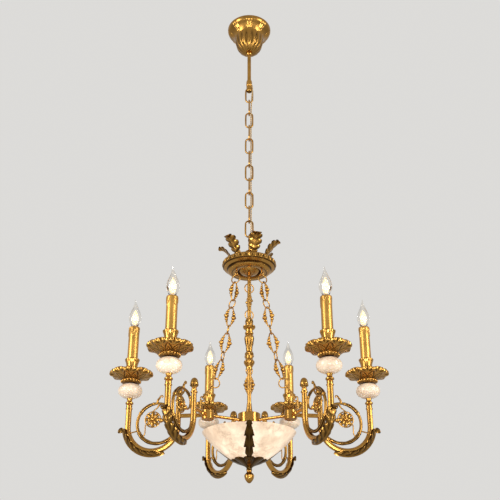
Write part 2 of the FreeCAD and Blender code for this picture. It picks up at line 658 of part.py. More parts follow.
def make_scrolls():
    """C-scroll inside the bend with its curled end, the rosette and their small stems."""
    centre_x = ARM_REACH - size["scroll_inset"]
    level, radius = size["scroll_level"], size["scroll_radius"]

    def on(angle, r=radius):
        a = math.radians(angle)
        return (centre_x + r * math.cos(a), 0, level + r * math.sin(a))

    def facing(angle):
        a = math.radians(angle)
        return plane_turn((math.cos(a), 0, math.sin(a)), (-math.sin(a), 0, math.cos(a)))

    start, top, curl_sweep = -138, 120, 150
    curl_centre = on(top, radius - size["scroll_curl_radius"])
    pieces = [
        arc_tube("scroll_bow", "scroll_radius", "scroll_tube", top - start, (centre_x, 0, level), facing(start)),
        arc_tube("scroll_curl", "scroll_curl_radius", "scroll_tube", curl_sweep, curl_centre, facing(top)),
    ]
    a = math.radians(top + curl_sweep)
    curl = size["scroll_curl_radius"]
    end = (curl_centre[0] + curl * math.cos(a), 0, curl_centre[2] + curl * math.sin(a))
    eye = doc.addObject("Part::Sphere", "scroll_eye")
    eye.setExpression("Radius", f"{cell('scroll_tube')} * 1.5")
    eye.Placement = FreeCAD.Placement(Vector(*end), FreeCAD.Rotation(Vector(1, 0, 0), 90))
    disc_at = Vector(ARM_REACH - size["rosette_inset"], 0, size["rosette_level"])
    disc = doc.addObject("Part::Cylinder", "rosette_disc")
    disc.setExpression("Radius", cell("rosette_radius"))
    disc.setExpression("Height", cell("rosette_gauge"))
    disc.Placement = FreeCAD.Placement(disc_at + Vector(0, size["rosette_gauge"] / 2, 0),
                                       FreeCAD.Rotation(Vector(1, 0, 0), 90))
    heart = doc.addObject("Part::Ellipsoid", "rosette_heart")
    heart.Radius1 = 7.5
    heart.Radius2 = heart.Radius3 = 11
    heart.Placement = FreeCAD.Placement(disc_at, FreeCAD.Rotation(Vector(1, 0, 0), 90))
    stem = rod("rosette_stem", "eyelet_wire", on(-42), (disc_at.x + 12, 0, disc_at.z - 14))
    tip_base = on(92)
    tip = rod("scroll_tip", "eyelet_wire", tip_base, (tip_base[0] - 3, 0, tip_base[2] + 19))
    bud = doc.addObject("Part::Sphere", "scroll_bud")
    bud.Radius = 4.2
    bud.Placement.Base = Vector(tip_base[0] - 3, 0, tip_base[2] + 19)
    tie = rod("scroll_tie", "eyelet_wire", on(-24), (ARM_REACH - size["arm_tube"] + 1, 0, on(-24)[2] - 3))
    scroll = fused("scroll_master", pieces + [eye, disc, heart, stem, tip, bud, tie])
    copies("scrolls", scroll, arm_placements())


def make_acorns():
    acorn = [(0, 0, 0), (0.56, 0, 0), (0.62, 0.12, 0), (0.5, 0.2, 0), (0.62, 0.26, 0), (0.96, 0.36, 0), (1, 0.42, 0),
             (0.93, 0.48, 0), (0.9, 0.6, 0), (0.74, 0.8, 0), (0.45, 0.94, 0), (0.15, 1, 0), (0, 1, 0)]
    body = turned("acorn_turning", "acorn_radius", "acorn_height", acorn, "inner_post_top")
    inner = FreeCAD.Placement(Vector(ARM_REACH - size["post_inset"], 0, 0), FreeCAD.Rotation())
    copies("acorn_finials", body, [p.multiply(inner) for p in arm_placements()])


# ---------------------------------------------------------------- candle stack


def make_candles():
    def bored(radius_cell, corners, bore_cell="stack_bore"):
        bore = size[bore_cell] / size[radius_cell]
        return [(bore, 0, 0)] + corners + [(bore, 1, 0)]

    stack = candle_placements()
    collar = bored("collar_radius", [(0.78, 0, 0), (0.8, 0.1, 0), (0.66, 0.2, 0), (1, 0.32, 0), (1, 0.46, 0),
                                     (0.74, 0.56, 0), (0.62, 0.7, 0), (0.72, 0.9, 0), (0.72, 1, 0)])
    copies("post_collars", turned("collar_master", "collar_radius", "collar_height", collar, "outer_post_top"), stack)
    ball = bored("ball_radius", [(0.45, 0, 0.32), (1, 0.45, 0), (1, 0.55, 0.32), (0.45, 1, 0)])
    copies("stone_balls", turned("ball_master", "ball_radius", "ball_height", ball, "ball_level"), stack)
    pan = bored("pan_radius", [(0.36, 0, 0), (0.42, 0.1, 0), (0.38, 0.26, 0), (0.5, 0.42, 0), (0.7, 0.56, 0),
                               (0.88, 0.66, 0), (1, 0.78, 0), (1, 0.9, 0), (0.95, 1, 0), (0.88, 0.86, 0),
                               (0.7, 0.76, 0), (0.5, 0.62, 0), (0.3, PAN_SEAT, 0)])
    pan[-1] = (pan[-1][0], PAN_SEAT, 0)
    copies("drip_pans", turned("pan_master", "pan_radius", "pan_height", pan, "pan_level"), stack)
    cup = bored("cup_radius", [(0.7, 0, 0), (0.75, 0.2, 0), (0.66, 0.36, 0), (0.72, 0.54, 0), (0.86, 0.78, 0),
                               (1, 0.92, 0), (0.95, 0.97, 0), (0.85, 1, 0)])
    body = turned("cup_master", "cup_radius", "cup_height", cup)
    body.setExpression(".Placement.Base.z", f"{cell('pan_level')} + {cell('pan_height')} * {PAN_SEAT}")
    copies("candle_cups", body, stack)
    inside = 1 - size["sleeve_wall"] / size["sleeve_radius"]
    sleeve = [(inside, 0, 0), (1, 0, 0), (1, 0.9, 0), (0.93, 1, 0), (inside, 1, 0)]
    copies("candle_sleeves", turned("sleeve_master", "sleeve_radius", "sleeve_height", sleeve, "sleeve_level"), stack)
    bore = size["holder_bore"] / size["holder_radius"]
    holder = [(0, 0.14, 0), (0.42, 0.14, 0), (0.42, 0, 0), (0.9, 0, 0), (1, 0.05, 0), (1, 1, 0), (bore, 1, 0),
              (bore, 0.62, 0), (0, 0.62, 0)]
    body = turned("holder_master", "holder_radius", "holder_height", holder)
    body.setExpression(".Placement.Base.z", cell("sleeve_level"))
    copies("lamp_holders", body, stack)


def make_bulbs():
    """Flame bulbs with their screw caps, each able to leave its holder upwards."""
    cap = (size["holder_bore"] - 0.35) / size["bulb_radius"]
    flame = [(0, 0, 0), (0.2, 0, 0), (cap, 0.03, 0), (cap, 0.24, 0), (0.5, 0.27, 0), (0.78, 0.34, 0),
             (0.96, 0.42, 0), (1, 0.48, 0), (0.95, 0.56, 0), (0.76, 0.68, 0), (0.5, 0.79, 0), (0.26, 0.88, 0),
             (0.1, 0.96, 0), (0, 1, 0)]
    body = turned("bulb_master", "bulb_radius", "bulb_height", flame, "bulb_level")
    for i, where in enumerate(candle_placements(), start=1):
        copies(f"candle_bulb_{i}", body, [where])


# ---------------------------------------------------------------- drape chains


def drape_points():
    """Ring centres in the plane of a drape chain, as (distance from the axis, level)."""
    points = [(size["drape_start_radius"], size["drape_start_level"])]
    for lean in (8, 8.5, 11, 15.5):
        a = math.radians(lean)
        r, z = points[-1]
        points.append((r + size["drape_pitch"] * math.sin(a), z - size["drape_pitch"] * math.cos(a)))
    return points


def openwork_link(half_length):
    """Two bowed sides with a large bead each and small beads beside it, closed by round ends."""
    width = size["openwork_half_width"]
    end_radius = size["eyelet_radius"]
    straight = half_length - end_radius
    pieces = []
    for side in (-1, 1):
        turn = plane_turn((side, 0, 0), (0, 0, side))
        pieces.append(arc_tube("openwork_end", "eyelet_radius", "eyelet_wire", 180, (0, 0, side * straight), turn))
        for up in (-1, 1):
            pieces.append(rod("openwork_side", "eyelet_wire", (side * width, 0, 0), (side * end_radius, 0, up * straight)))
            small = doc.addObject("Part::Sphere", "openwork_small_bead")
            small.Radius = 2.9
            small.Placement.Base = Vector(side * (width + end_radius) / 2, 0, up * straight / 2)
            pieces.append(small)
        large = doc.addObject("Part::Sphere", "openwork_bead")
        large.Radius = 5
        large.Placement.Base = Vector(side * width, 0, 0)
        pieces.append(large)
    return fused("openwork_master", pieces)


def plain_link(half_length):
    straight = half_length - size["eyelet_radius"]
    pieces = []
    for side in (-1, 1):
        x = side * size["eyelet_radius"]
        pieces.append(rod("plain_side", "eyelet_wire", (x, 0, -straight), (x, 0, straight)))
        turn = plane_turn((side, 0, 0), (0, 0, side))
        pieces.append(arc_tube("plain_end", "eyelet_radius", "eyelet_wire", 180, (0, 0, side * straight), turn))
    return fused("plain_master", pieces)


def along(start, end, roll):
    """Placement at the middle of a run in the XZ plane: Z goes up the run, X is turned by roll."""
    (r0, z0), (r1, z1) = start, end
    up = Vector(r0 - r1, 0, z0 - z1).normalize()
    out = Vector(up.z, 0, -up.x)
    across = up.cross(out)
    a = math.radians(roll)
    first = out * math.cos(a) + across * math.sin(a)
    second = up.cross(first)
    turn = FreeCAD.Rotation(first, second, up, "XYZ")
    return FreeCAD.Placement(Vector((r0 + r1) / 2, 0, (z0 + z1) / 2), turn)


def eyelet_points():
    """Centres of the crown and boss eyelets in the plane of a drape chain."""
    hang = size["ring_radius"] - 2 * size["eyelet_wire"] - size["joint_gap"] + size["eyelet_radius"]
    lean = math.radians(7)
    top = (size["drape_start_radius"] - hang * math.sin(lean), size["drape_start_level"] + hang * math.cos(lean))
    return top, (size["drape_end_radius"], size["drape_end_level"])


ELEMENT_ROLLS = {
    # turn of each element about the run of its chain, degrees: ring, link, ring, link ... plain link
    "right": (60, -15, 80, 5, 110, 30, 130, 60, 0, 85),
    "left": (-60, 15, -80, -5, -110, -30, -130, -60, 0, -85),
    "back": (110, 20, 120, 30, 125, 40, 140, 65, 0, 90),
}


def make_drapes():
    """Three chains of rings and openwork links from the crown to the arm bosses."""
    rings = drape_points()
    wire, gap = size["eyelet_wire"], size["joint_gap"]
    nested = size["ring_radius"] - 2 * wire - gap
    link = openwork_link(size["drape_pitch"] / 2 - nested)
    torus = doc.addObject("Part::Torus", "ring_master")
    torus.setExpression("Radius1", cell("ring_radius"))
    torus.setExpression("Radius2", cell("eyelet_wire"))
    torus.Placement = FreeCAD.Placement(Vector(0, 0, 0), plane_turn((1, 0, 0), (0, 0, 1)))
    ring = fused("ring_upright", [torus, torus_joint()])
    top_eye, low_eye = eyelet_points()
    stops = [top_eye] + rings + [low_eye]
    held = size["eyelet_radius"] - 2 * wire - gap
    last_run = math.dist(rings[-1], low_eye)
    plain = plain_link((last_run - nested - held) / 2)
    shift = (nested - held) / 2 / last_run
    for name, azimuth in BOSS_AZIMUTHS.items():
        rolls = ELEMENT_ROLLS[name]
        pieces = []
        for i in range(1, len(stops) - 1):
            spot = along(stops[i - 1], stops[i + 1], rolls[2 * i - 2])
            spot.Base = Vector(stops[i][0], 0, stops[i][1])
            pieces.append((ring, spot))
            spot = along(stops[i], stops[i + 1], rolls[2 * i - 1])
            pieces.append((link if i < len(rings) else plain, spot))
        (r0, z0), (r1, z1) = rings[-1], low_eye
        spot.Base = spot.Base + Vector(r1 - r0, 0, z1 - z0) * shift
        links = []
        for i, (base, spot) in enumerate(pieces):
            copy = doc.addObject("App::Link", f"drape_{name}_{i}")
            copy.LinkedObject = base
            copy.LinkTransform = True
            copy.Placement = about_axis(azimuth).multiply(spot)
            links.append(copy)
        group(f"drape_chain_{name}", links)
    make_eyelets(stops)


def torus_joint():
    """Small solder bead at the ring's joint."""
    bead = doc.addObject("Part::Sphere", "ring_bead")
    bead.Radius = 2
    bead.Placement.Base = Vector(size["ring_radius"], 0, 0)
    return bead


def make_eyelets(stops):
    """At both ends of each drape chain: an eyelet square to the chain's end, a bead and a stem."""
    radius = size["eyelet_radius"]
    upright_ring = FreeCAD.Placement(Vector(0, 0, 0), plane_turn((1, 0, 0), (0, 0, 1)))
    crown_under = size["crown_level"] + 5
    lug_top = size["spoke_level"] + 6
    links = []
    for name, azimuth in BOSS_AZIMUTHS.items():
        rolls = ELEMENT_ROLLS[name]
        top = along(stops[0], stops[1], rolls[0] + 90)
        low = along(stops[-2], stops[-1], rolls[-1] + 90)
        for (r, z), spot, way, end in ((stops[0], top, 1, crown_under), (stops[-1], low, -1, lug_top)):
            spot.Base = Vector(r, 0, z)
            eye = doc.addObject("Part::Torus", "eyelet_ring")
            eye.setExpression("Radius1", cell("eyelet_radius"))
            eye.setExpression("Radius2", cell("eyelet_wire"))
            eye.Placement = spot.multiply(upright_ring)
            bead = doc.addObject("Part::Sphere", "eyelet_bead")
            bead.Radius = size["eyelet_stem"] + 0.8
            foot = spot.multVec(Vector(0, 0, way * (radius + size["eyelet_wire"])))
            bead.Placement.Base = foot
            stem = rod("eyelet_stem_rod", "eyelet_stem", (foot.x, foot.y, foot.z), (foot.x, foot.y, end))
            copy = doc.addObject("App::Link", f"eyelet_{name}_{way}")
            copy.LinkedObject = fused("eyelet_whole", [eye, bead, stem])
            copy.LinkTransform = True
            copy.Placement = about_axis(azimuth)
            links.append(copy)
    group("chain_eyelets", links)


# ---------------------------------------------------------------- bowl


def bowl_centre():
    return size["bowl_rim_level"] + math.sqrt(size["bowl_sphere"] ** 2 - size["bowl_radius"] ** 2)


def on_sphere(radius, r, level):
    """Corner at distance r from the axis on a sphere about the bowl's centre, above a level."""
    return (r / OUTLINE_UNIT, (bowl_centre() - math.sqrt(radius ** 2 - r ** 2) - level) / OUTLINE_UNIT)


def sphere_bulge(radius, near, far):
    """Bulge of the arc on such a sphere between two distances from the axis."""
    return math.tan((math.asin(far / radius) - math.asin(near / radius)) / 4)


def make_bowl():
    """Bowl cut from stone: part of a hollow sphere with a hole for the tie rod."""
    outer, rim, hole = size["bowl_sphere"], size["bowl_radius"], size["bowl_hole"]
    level = size["bowl_rim_level"]
    inner = outer - size["bowl_wall"]
    rim_inner = math.sqrt(inner ** 2 - (bowl_centre() - level) ** 2)
    corners = [
        (*on_sphere(outer, hole, level), sphere_bulge(outer, hole, rim)), (*on_sphere(outer, rim, level), 0),
        (*on_sphere(inner, rim_inner, level), -sphere_bulge(inner, hole, rim_inner)),
        (*on_sphere(inner, hole, level), 0),
    ]
    bowl = turned("bowl_turning", "outline_unit", "outline_unit", corners, "bowl_rim_level")
    keep("alabaster_bowl", bowl)
    gauge, start = size["strap_gauge"], size["bowl_cup_radius"] + 0.6
    near, far = outer + 0.2, outer + 0.2 + gauge
    hook = (rim_inner - 0.3) / OUTLINE_UNIT
    lip, tail = 0.03, -0.06
    thick = gauge / OUTLINE_UNIT
    drop = bowl_centre() - level - tail * OUTLINE_UNIT
    inside = (math.sqrt(inner ** 2 - drop ** 2) - 0.5) / OUTLINE_UNIT
    corners = [
        (*on_sphere(far, start, level), sphere_bulge(far, start, rim + gauge)),
        (*on_sphere(far, rim + gauge, level), 0), ((rim + gauge) / OUTLINE_UNIT, lip, 0), (inside - thick, lip, 0),
        (inside - thick, tail, 0), (inside, tail, 0), (hook - 0.004, 0.003, 0),
        (on_sphere(near, rim, level)[0], 0.003, 0), (*on_sphere(near, rim, level), -sphere_bulge(near, start, rim)),
        (*on_sphere(near, start, level), 0),
    ]
    shell = turned("strap_shell", "outline_unit", "outline_unit", corners, "bowl_rim_level")
    trim = box("strap_trim", 2 * rim, size["strap_width"], 2 * rim, (0, -size["strap_width"] / 2, level - rim))
    strap = doc.addObject("Part::Common", "strap_master")
    strap.Base, strap.Tool = shell, trim
    copies("bowl_straps", strap, [about_axis(az) for az in (-90, 30, 150)])


def make_bowl_bottom():
    """Petalled cup under the bowl and the finial that screws onto the tie rod."""
    seat, level = size["bowl_sphere"] + 0.15, size["bowl_cup_level"]
    bore = size["tie_rod_radius"] + 0.05
    edge = size["bowl_cup_radius"]
    under = [(bore, 0), (8, 0), (7, 3.2), (9.4, 7), (17, 11.3), (29, 16.2), (42, 21.1), (edge, 24.6)]
    corners = [(r / OUTLINE_UNIT, z / OUTLINE_UNIT, 0) for r, z in under]
    corners.append((*on_sphere(seat, edge - 0.6, level), -sphere_bulge(seat, bore, edge - 0.6)))
    corners.append((*on_sphere(seat, bore, level), 0))
    keep("bowl_cup", turned("bowl_cup_turning", "outline_unit", "outline_unit", corners, "bowl_cup_level"))
    bore = bore / size["finial_radius"]
    depth = (size["finial_height"] - (size["tie_rod_end"] - size["finial_level"]) + 2) / size["finial_height"]
    finial = [(0, 0, 0), (0.2, 0.02, 0), (0.55, 0.14, 0), (0.88, 0.34, 0), (0.96, 0.5, 0), (1, 0.56, 0),
              (0.98, 0.62, 0), (0.66, 0.78, 0), (0.5, 0.88, 0), (0.56, 0.94, 0), (0.52, 1, 0), (bore, 1, 0),
              (bore, 1 - depth, 0), (0, 1 - depth, 0)]
    keep("bottom_finial", turned("finial_turning", "finial_radius", "finial_height", finial, "finial_level"))


def make_bowl_lamps():
    """Three pin lamps under the hub, in holders that screw to it."""
    bore = (size["pin_lamp_radius"] + 0.3) / size["pin_holder_radius"]
    holder = [(0, 0.55, 0), (bore, 0.55, 0), (bore, 0, 0), (1, 0, 0), (1, 0.9, 0), (0.9, 1, 0), (0, 1, 0)]
    body = turned("pin_holder_master", "pin_holder_radius", "pin_holder_height", holder)
    body.setExpression(".Placement.Base.z", f"{cell('hub_level')} - {cell('pin_holder_height')}")
    body.setExpression(".Placement.Base.x", cell("pin_lamp_distance"))
    spots = [about_axis(az) for az in (30, 150, 270)]
    copies("bowl_lamp_holders", body, spots)
    lamp = [(0, 0, 0), (0.5, 0.02, 0), (0.9, 0.1, 0), (1, 0.2, 0), (1, 0.8, 0), (1, 1, 0), (0, 1, 0)]
    body = turned("pin_lamp_master", "pin_lamp_radius", "pin_lamp_height", lamp)
    seat = f"{cell('hub_level')} - {cell('pin_holder_height')} * 0.45 - 0.3"
    body.setExpression(".Placement.Base.z", f"{seat} - {cell('pin_lamp_height')}")
    body.setExpression(".Placement.Base.x", cell("pin_lamp_distance"))
    copies("bowl_lamps", body, spots)


# ---------------------------------------------------------------- build and write


cord_passage = make_cord()
for step in (make_stem, make_clevis, make_crown):
    step(cord_passage)
for step in (make_bracket, make_canopy, make_chain, make_crown_leaves, make_column, make_hub, make_arms,
             make_sheaths, make_scrolls, make_acorns, make_candles, make_bulbs, make_drapes, make_bowl,
             make_bowl_bottom, make_bowl_lamps):
    step()
doc.recompute()

for item in doc.Objects:
    bad = [s for s in item.State if s in ("Invalid", "Error")]
    if bad:
        raise RuntimeError(f"{item.Name} ({item.Label}) failed: {item.State}")
for label, item in nodes.items():
    if item.Shape.isNull() or not item.Shape.isValid():
        raise RuntimeError(f"{label} has no valid shape")
for label, item in nodes.items():
    item.Shape.exportStep(f"parts/{label}.step")
    print(label, len(item.Shape.Solids), "solids", round(item.Shape.Volume / 1000, 1), "cm3")
print(len(nodes), "nodes")
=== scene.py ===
"""Looks of a six-candle brass chandelier with a lit alabaster bowl, built round its CAD frame.

Lengths in the shape functions are millimetres in the frame of the part: origin in the ceiling
plane on the vertical axis, +Z up, +Y away from the camera. A mesh is written in metres.
"""

import json
import math

import bpy
import numpy as np
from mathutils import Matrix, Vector


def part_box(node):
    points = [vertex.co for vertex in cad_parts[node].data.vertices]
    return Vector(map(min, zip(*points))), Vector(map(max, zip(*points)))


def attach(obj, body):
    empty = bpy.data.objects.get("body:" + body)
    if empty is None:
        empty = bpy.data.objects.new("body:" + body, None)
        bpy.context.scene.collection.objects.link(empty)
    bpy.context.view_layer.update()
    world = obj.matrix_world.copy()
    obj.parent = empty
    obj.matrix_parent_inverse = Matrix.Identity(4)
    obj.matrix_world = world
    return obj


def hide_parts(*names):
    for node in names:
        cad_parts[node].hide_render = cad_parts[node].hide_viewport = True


bl_info = {
    "name": "Alabaster bowl chandelier",
    "version": (1, 0, 0),
    "blender": (4, 5, 0),
    "location": "View3D > Sidebar > Chandelier",
    "description": "Builds the brass, stone, glass and light of a chandelier round its CAD frame",
    "category": "Object",
}

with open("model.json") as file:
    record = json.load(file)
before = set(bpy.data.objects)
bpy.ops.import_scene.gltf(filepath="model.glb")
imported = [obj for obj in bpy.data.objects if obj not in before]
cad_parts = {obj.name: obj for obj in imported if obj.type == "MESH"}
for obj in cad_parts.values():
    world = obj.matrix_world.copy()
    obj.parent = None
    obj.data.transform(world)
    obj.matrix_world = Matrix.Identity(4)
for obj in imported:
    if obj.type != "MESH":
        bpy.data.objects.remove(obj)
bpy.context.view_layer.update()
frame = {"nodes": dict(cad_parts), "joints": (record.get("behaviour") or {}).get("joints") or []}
MM = 0.001
TAU = 2 * math.pi
BOSS_AZIMUTHS = (90.0, 210.0, 330.0)
STRAP_AZIMUTHS = (270.0, 30.0, 150.0)
LEAF_AZIMUTHS = tuple(range(-75, 285, 60))
LINKS = 12


def span(node):
    """Lowest and highest corner of a CAD node, in millimetres."""
    low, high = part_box(node)
    return np.array(low) / MM, np.array(high) / MM


def middle(node):
    """Middle of a CAD node's box, in millimetres."""
    low, high = span(node)
    return (low + high) / 2


def radius_of(node):
    """Half the width in X of a node that is centred on the axis."""
    low, high = span(node)
    return (high[0] - low[0]) / 2


# ------------------------------------------------------------------ what a user would change


class BrassSettings(bpy.types.PropertyGroup):
    """Colours and polish of the metal."""

    bright: bpy.props.FloatVectorProperty(
        name="Bright brass", description="Colour on rubbed ridges and turned parts", subtype="COLOR",
        default=(0.43, 0.225, 0.050), min=0, max=1)
    # Colour of the hollows of the castings: partly patina, partly painted shade in the recesses.
    patina_and_shade: bpy.props.FloatVectorProperty(
        name="Patina", description="Colour in the hollows of the castings", subtype="COLOR",
        default=(0.030, 0.013, 0.004), min=0, max=1)
    satin: bpy.props.FloatVectorProperty(
        name="Satin gold", description="Colour of the candle sleeves", subtype="COLOR",
        default=(0.50, 0.27, 0.065), min=0, max=1)
    polish: bpy.props.FloatProperty(
        name="Roughness", description="Mean roughness of the turned brass", default=0.24, min=0.05, max=0.8)
    reeds: bpy.props.IntProperty(
        name="Arm reeds", description="Flutes round an arm tube", default=8, min=3, max=16)


class LeafSettings(bpy.types.PropertyGroup):
    """The cast acanthus leaves."""

    crown_width: bpy.props.FloatProperty(
        name="Crown leaf width", description="Widest part of a crown leaf, mm",
        default=41.0, min=10, max=60)
    crown_lobes: bpy.props.IntProperty(
        name="Crown leaf lobes", description="Lobes along an edge", default=5, min=2)
    sheath_lobes: bpy.props.IntProperty(
        name="Sheath lobes", description="Lobes along a bend", default=8, min=2)
    pan_petals: bpy.props.IntProperty(
        name="Pan petals", description="Leaves round a drip pan", default=10, min=4)


class StoneSettings(bpy.types.PropertyGroup):
    """The alabaster and its light."""

    pale: bpy.props.FloatVectorProperty(
        name="Pale stone", description="Main colour of the alabaster", subtype="COLOR",
        default=(0.82, 0.68, 0.52), min=0, max=1)
    veined: bpy.props.FloatVectorProperty(
        name="Veins", description="Colour of clouds and veins", subtype="COLOR",
        default=(0.33, 0.18, 0.09), min=0, max=1)
    glow: bpy.props.FloatProperty(
        name="Bowl glow", description="Light that the bowl gives", default=0.36, min=0, max=5)


class LampSettings(bpy.types.PropertyGroup):
    """The bulbs."""

    warm: bpy.props.FloatVectorProperty(
        name="Lamp colour", description="Colour of the lit cores", subtype="COLOR",
        default=(1.0, 0.55, 0.16), min=0, max=1)
    power: bpy.props.FloatProperty(
        name="Lamp strength", description="Strength of the lit cores", default=1.35, min=0, max=50)


class StudioSettings(bpy.types.PropertyGroup):
    """Room, lights and camera."""

    floor_level: bpy.props.FloatProperty(
        name="Floor", description="Height of the floor", default=-2.7,
        subtype="DISTANCE", unit="LENGTH")
    pale: bpy.props.FloatVectorProperty(
        name="Backdrop", description="Colour of backdrop and floor", subtype="COLOR",
        default=(0.80, 0.79, 0.77), min=0, max=1)
    world_level: bpy.props.FloatProperty(
        name="World light", description="Even light all round", default=0.3, min=0)
    softbox_power: bpy.props.FloatProperty(
        name="Softboxes", description="Power of each softbox", default=60.0, min=0,
        subtype="POWER", unit="POWER")
    camera_back: bpy.props.FloatProperty(
        name="Camera distance", description="Camera from the axis", default=2.0,
        subtype="DISTANCE", unit="LENGTH")
    camera_level: bpy.props.FloatProperty(
        name="Camera height", description="Camera below the ceiling", default=-1.861,
        subtype="DISTANCE", unit="LENGTH")
    camera_pitch: bpy.props.FloatProperty(
        name="Camera pitch", description="Upward tilt", default=math.radians(24.86),
        subtype="ANGLE", unit="ROTATION")
    lens: bpy.props.FloatProperty(name="Lens", description="Focal length, mm", default=55.22, min=1)


GROUPS = (
    ("brass", BrassSettings), ("leaves", LeafSettings), ("stone", StoneSettings), ("lamps", LampSettings),
    ("studio", StudioSettings),
)


def settings(name):
    """The scene's property group of that name."""
    return getattr(bpy.context.scene, f"chandelier_{name}")


# ------------------------------------------------------------------ surfaces on grids


def flowing(points, samples):
    """Catmull-Rom curve through the points, sampled evenly in its parameter: each stretch is the
    cubic whose end slopes are half the chord between a point's two neighbours."""
    points = np.asarray(points, float)
    padded = np.vstack([2 * points[0] - points[1], points, 2 * points[-1] - points[-2]])
    at = np.linspace(0, len(points) - 1, samples)
    k = np.minimum(at.astype(int), len(points) - 2)
    t = (at - k)[:, None]
    a, b, c, d = padded[k], padded[k + 1], padded[k + 2], padded[k + 3]
    return 0.5 * (2 * b + (c - a) * t + (2 * a - 5 * b + 4 * c - d) * t**2 + (3 * b - a - 3 * c + d) * t**3)


def straight_steps(points, steps):
    """Straight line from point to point, each stretch cut into equal steps."""
    points = np.asarray(points, float)
    at = np.linspace(0, len(points) - 1, steps * (len(points) - 1) + 1)
    return np.stack([np.interp(at, np.arange(len(points)), points[:, k]) for k in range(2)], 1)


def turned(profile, columns, ripple=None, drop=None):
    """Profile carried round the axis: a row is a circle of the profile's radius at its height.
    ripple(row share, angle) scales the radius and drop(row share, angle) adds to the height."""
    profile = np.asarray(profile, float)
    share = np.linspace(0, 1, len(profile))[:, None]
    angle = np.linspace(0, TAU, columns, endpoint=False)[None, :]
    radius = profile[:, :1] * (1 + (ripple(share, angle) if ripple else 0))
    height = profile[:, 1:] + (drop(share, angle) if drop else 0) + 0 * angle
    radius = radius + 0 * angle
    return np.stack([radius * np.cos(angle), radius * np.sin(angle), height], -1)


def swept(path, radius, columns, side=(0, 1, 0), flat=1.0, ripple=None):
    """Circle carried along a path: its axes are the fixed side direction and the one square to both
    the side and the path; radius may change along the path, flat squeezes it along the side, and
    ripple(row share, angle) scales it."""
    path = np.asarray(path, float)
    along = np.gradient(path, axis=0)
    along /= np.linalg.norm(along, axis=1, keepdims=True)
    side = np.asarray(side, float)
    across = np.cross(along, side)
    across /= np.linalg.norm(across, axis=1, keepdims=True)
    true_side = np.cross(across, along)
    share = np.linspace(0, 1, len(path))[:, None]
    angle = np.linspace(0, TAU, columns, endpoint=False)[None, :]
    radius = np.broadcast_to(np.asarray(radius, float), (len(path),))[:, None] * np.ones_like(angle)
    if ripple:
        radius = radius * (1 + ripple(share, angle))
    return (path[:, None] + across[:, None] * (radius * np.cos(angle))[..., None]
            + true_side[:, None] * (flat * radius * np.sin(angle))[..., None])


def leaf(spine, normal, width, thickness, lobes, cup=0.25, shear=0.35, vein=0.9, columns=36, tier=0.0):
    """Acanthus leaf as a closed sheet. The section runs across the front and back again: at row s
    and crossing a from -1 to 1 a point lies on the spine at s pulled back by shear times a squared,
    a times the half width away from it, cup times a squared off its face. The half width is the
    given one times an edge of pointed lobes, and the front carries a midrib and a ridge for each
    lobe. With tier the lobes are overlapping tiers whose edges narrow by that share and are finely
    toothed. Returns the grid and its relief from 0 in the hollows to 1 on the ridges."""
    spine, normal, width = np.asarray(spine, float), np.asarray(normal, float), np.asarray(width, float)
    rows = len(spine)
    along = np.gradient(spine, axis=0)
    along /= np.linalg.norm(along, axis=1, keepdims=True)
    across = np.cross(along, normal)
    across /= np.linalg.norm(across, axis=1, keepdims=True)
    s = np.linspace(0, 1, rows)[:, None]
    turn = np.linspace(0, TAU, columns, endpoint=False)[None, :]
    a = np.cos(turn)
    front = np.sign(np.sin(turn) + 1e-9)
    phase = lobes * (s + 0.12 * (1 - np.abs(a)))
    notch = np.abs((lobes * s) % 1 - 0.62)
    fade = np.minimum(1, 6 * (1 - s)) * np.minimum(1, 8 * s)
    edge = 1 - 0.34 * np.clip(1 - notch / 0.3, 0, 1) ** 1.4 * fade
    if tier:
        saw = (lobes * s) % 1
        edge = 1 - tier * saw**0.8 + 0.07 * np.abs(np.sin(5 * math.pi * lobes * s)) * (1 - saw)
    half = (width[:, None] / 2) * edge
    pull = shear * (a**2) * half
    ridge = 0.5 + 0.5 * np.cos(TAU * (phase + 0.38))
    midrib = np.exp(-((a / 0.11) ** 2))
    body = np.sqrt(np.clip(1 - a**2, 0, 1))
    relief = np.clip(0.25 + 0.6 * ridge * np.abs(a) ** 0.5 + 0.8 * midrib - 0.35 * (np.abs(a) > 0.93), 0, 1)
    lift = vein * thickness * (relief - 0.4) * body
    off = front * thickness * (0.18 + 0.5 * body) + np.where(front > 0, lift, -0.25 * lift)
    off = off + cup * half * a**2
    grid = (spine[:, None] + across[:, None] * (half * a)[..., None] - along[:, None] * pull[..., None]
            + normal[:, None] * off[..., None])
    return grid, relief * np.ones((rows, 1))


def bead(centre, radius, rows=9, columns=12, stretch=1.0):
    """Sphere by latitude and longitude, stretched along Z."""
    lat = np.linspace(-math.pi / 2, math.pi / 2, rows + 2)[1:-1]
    profile = np.stack([radius * np.cos(lat), stretch * radius * np.sin(lat)], 1)
    return turned(profile, columns) + np.asarray(centre, float)


def moved(grid, base=(0, 0, 0), x_to=(1, 0, 0), z_to=(0, 0, 1)):
    """Grid turned so that X and Z point the given ways, then moved to base."""
    x_to, z_to = np.asarray(x_to, float), np.asarray(z_to, float)
    z_to = z_to / np.linalg.norm(z_to)
    x_to = x_to - z_to * (x_to @ z_to)
    x_to = x_to / np.linalg.norm(x_to)
    turn = np.stack([x_to, np.cross(z_to, x_to), z_to], 0)
    return np.asarray(grid) @ turn + np.asarray(base, float)


def about_axis(azimuths, distance=0.0):
    """Placements turned about the vertical axis, as (turn, base) with +X pointing outwards."""
    found = []
    for azimuth in azimuths:
        c, n = math.cos(math.radians(azimuth)), math.sin(math.radians(azimuth))
        turn = np.array([[c, n, 0], [-n, c, 0], [0, 0, 1]])
        found.append((turn, np.array([distance * c, distance * n, 0])))
    return found


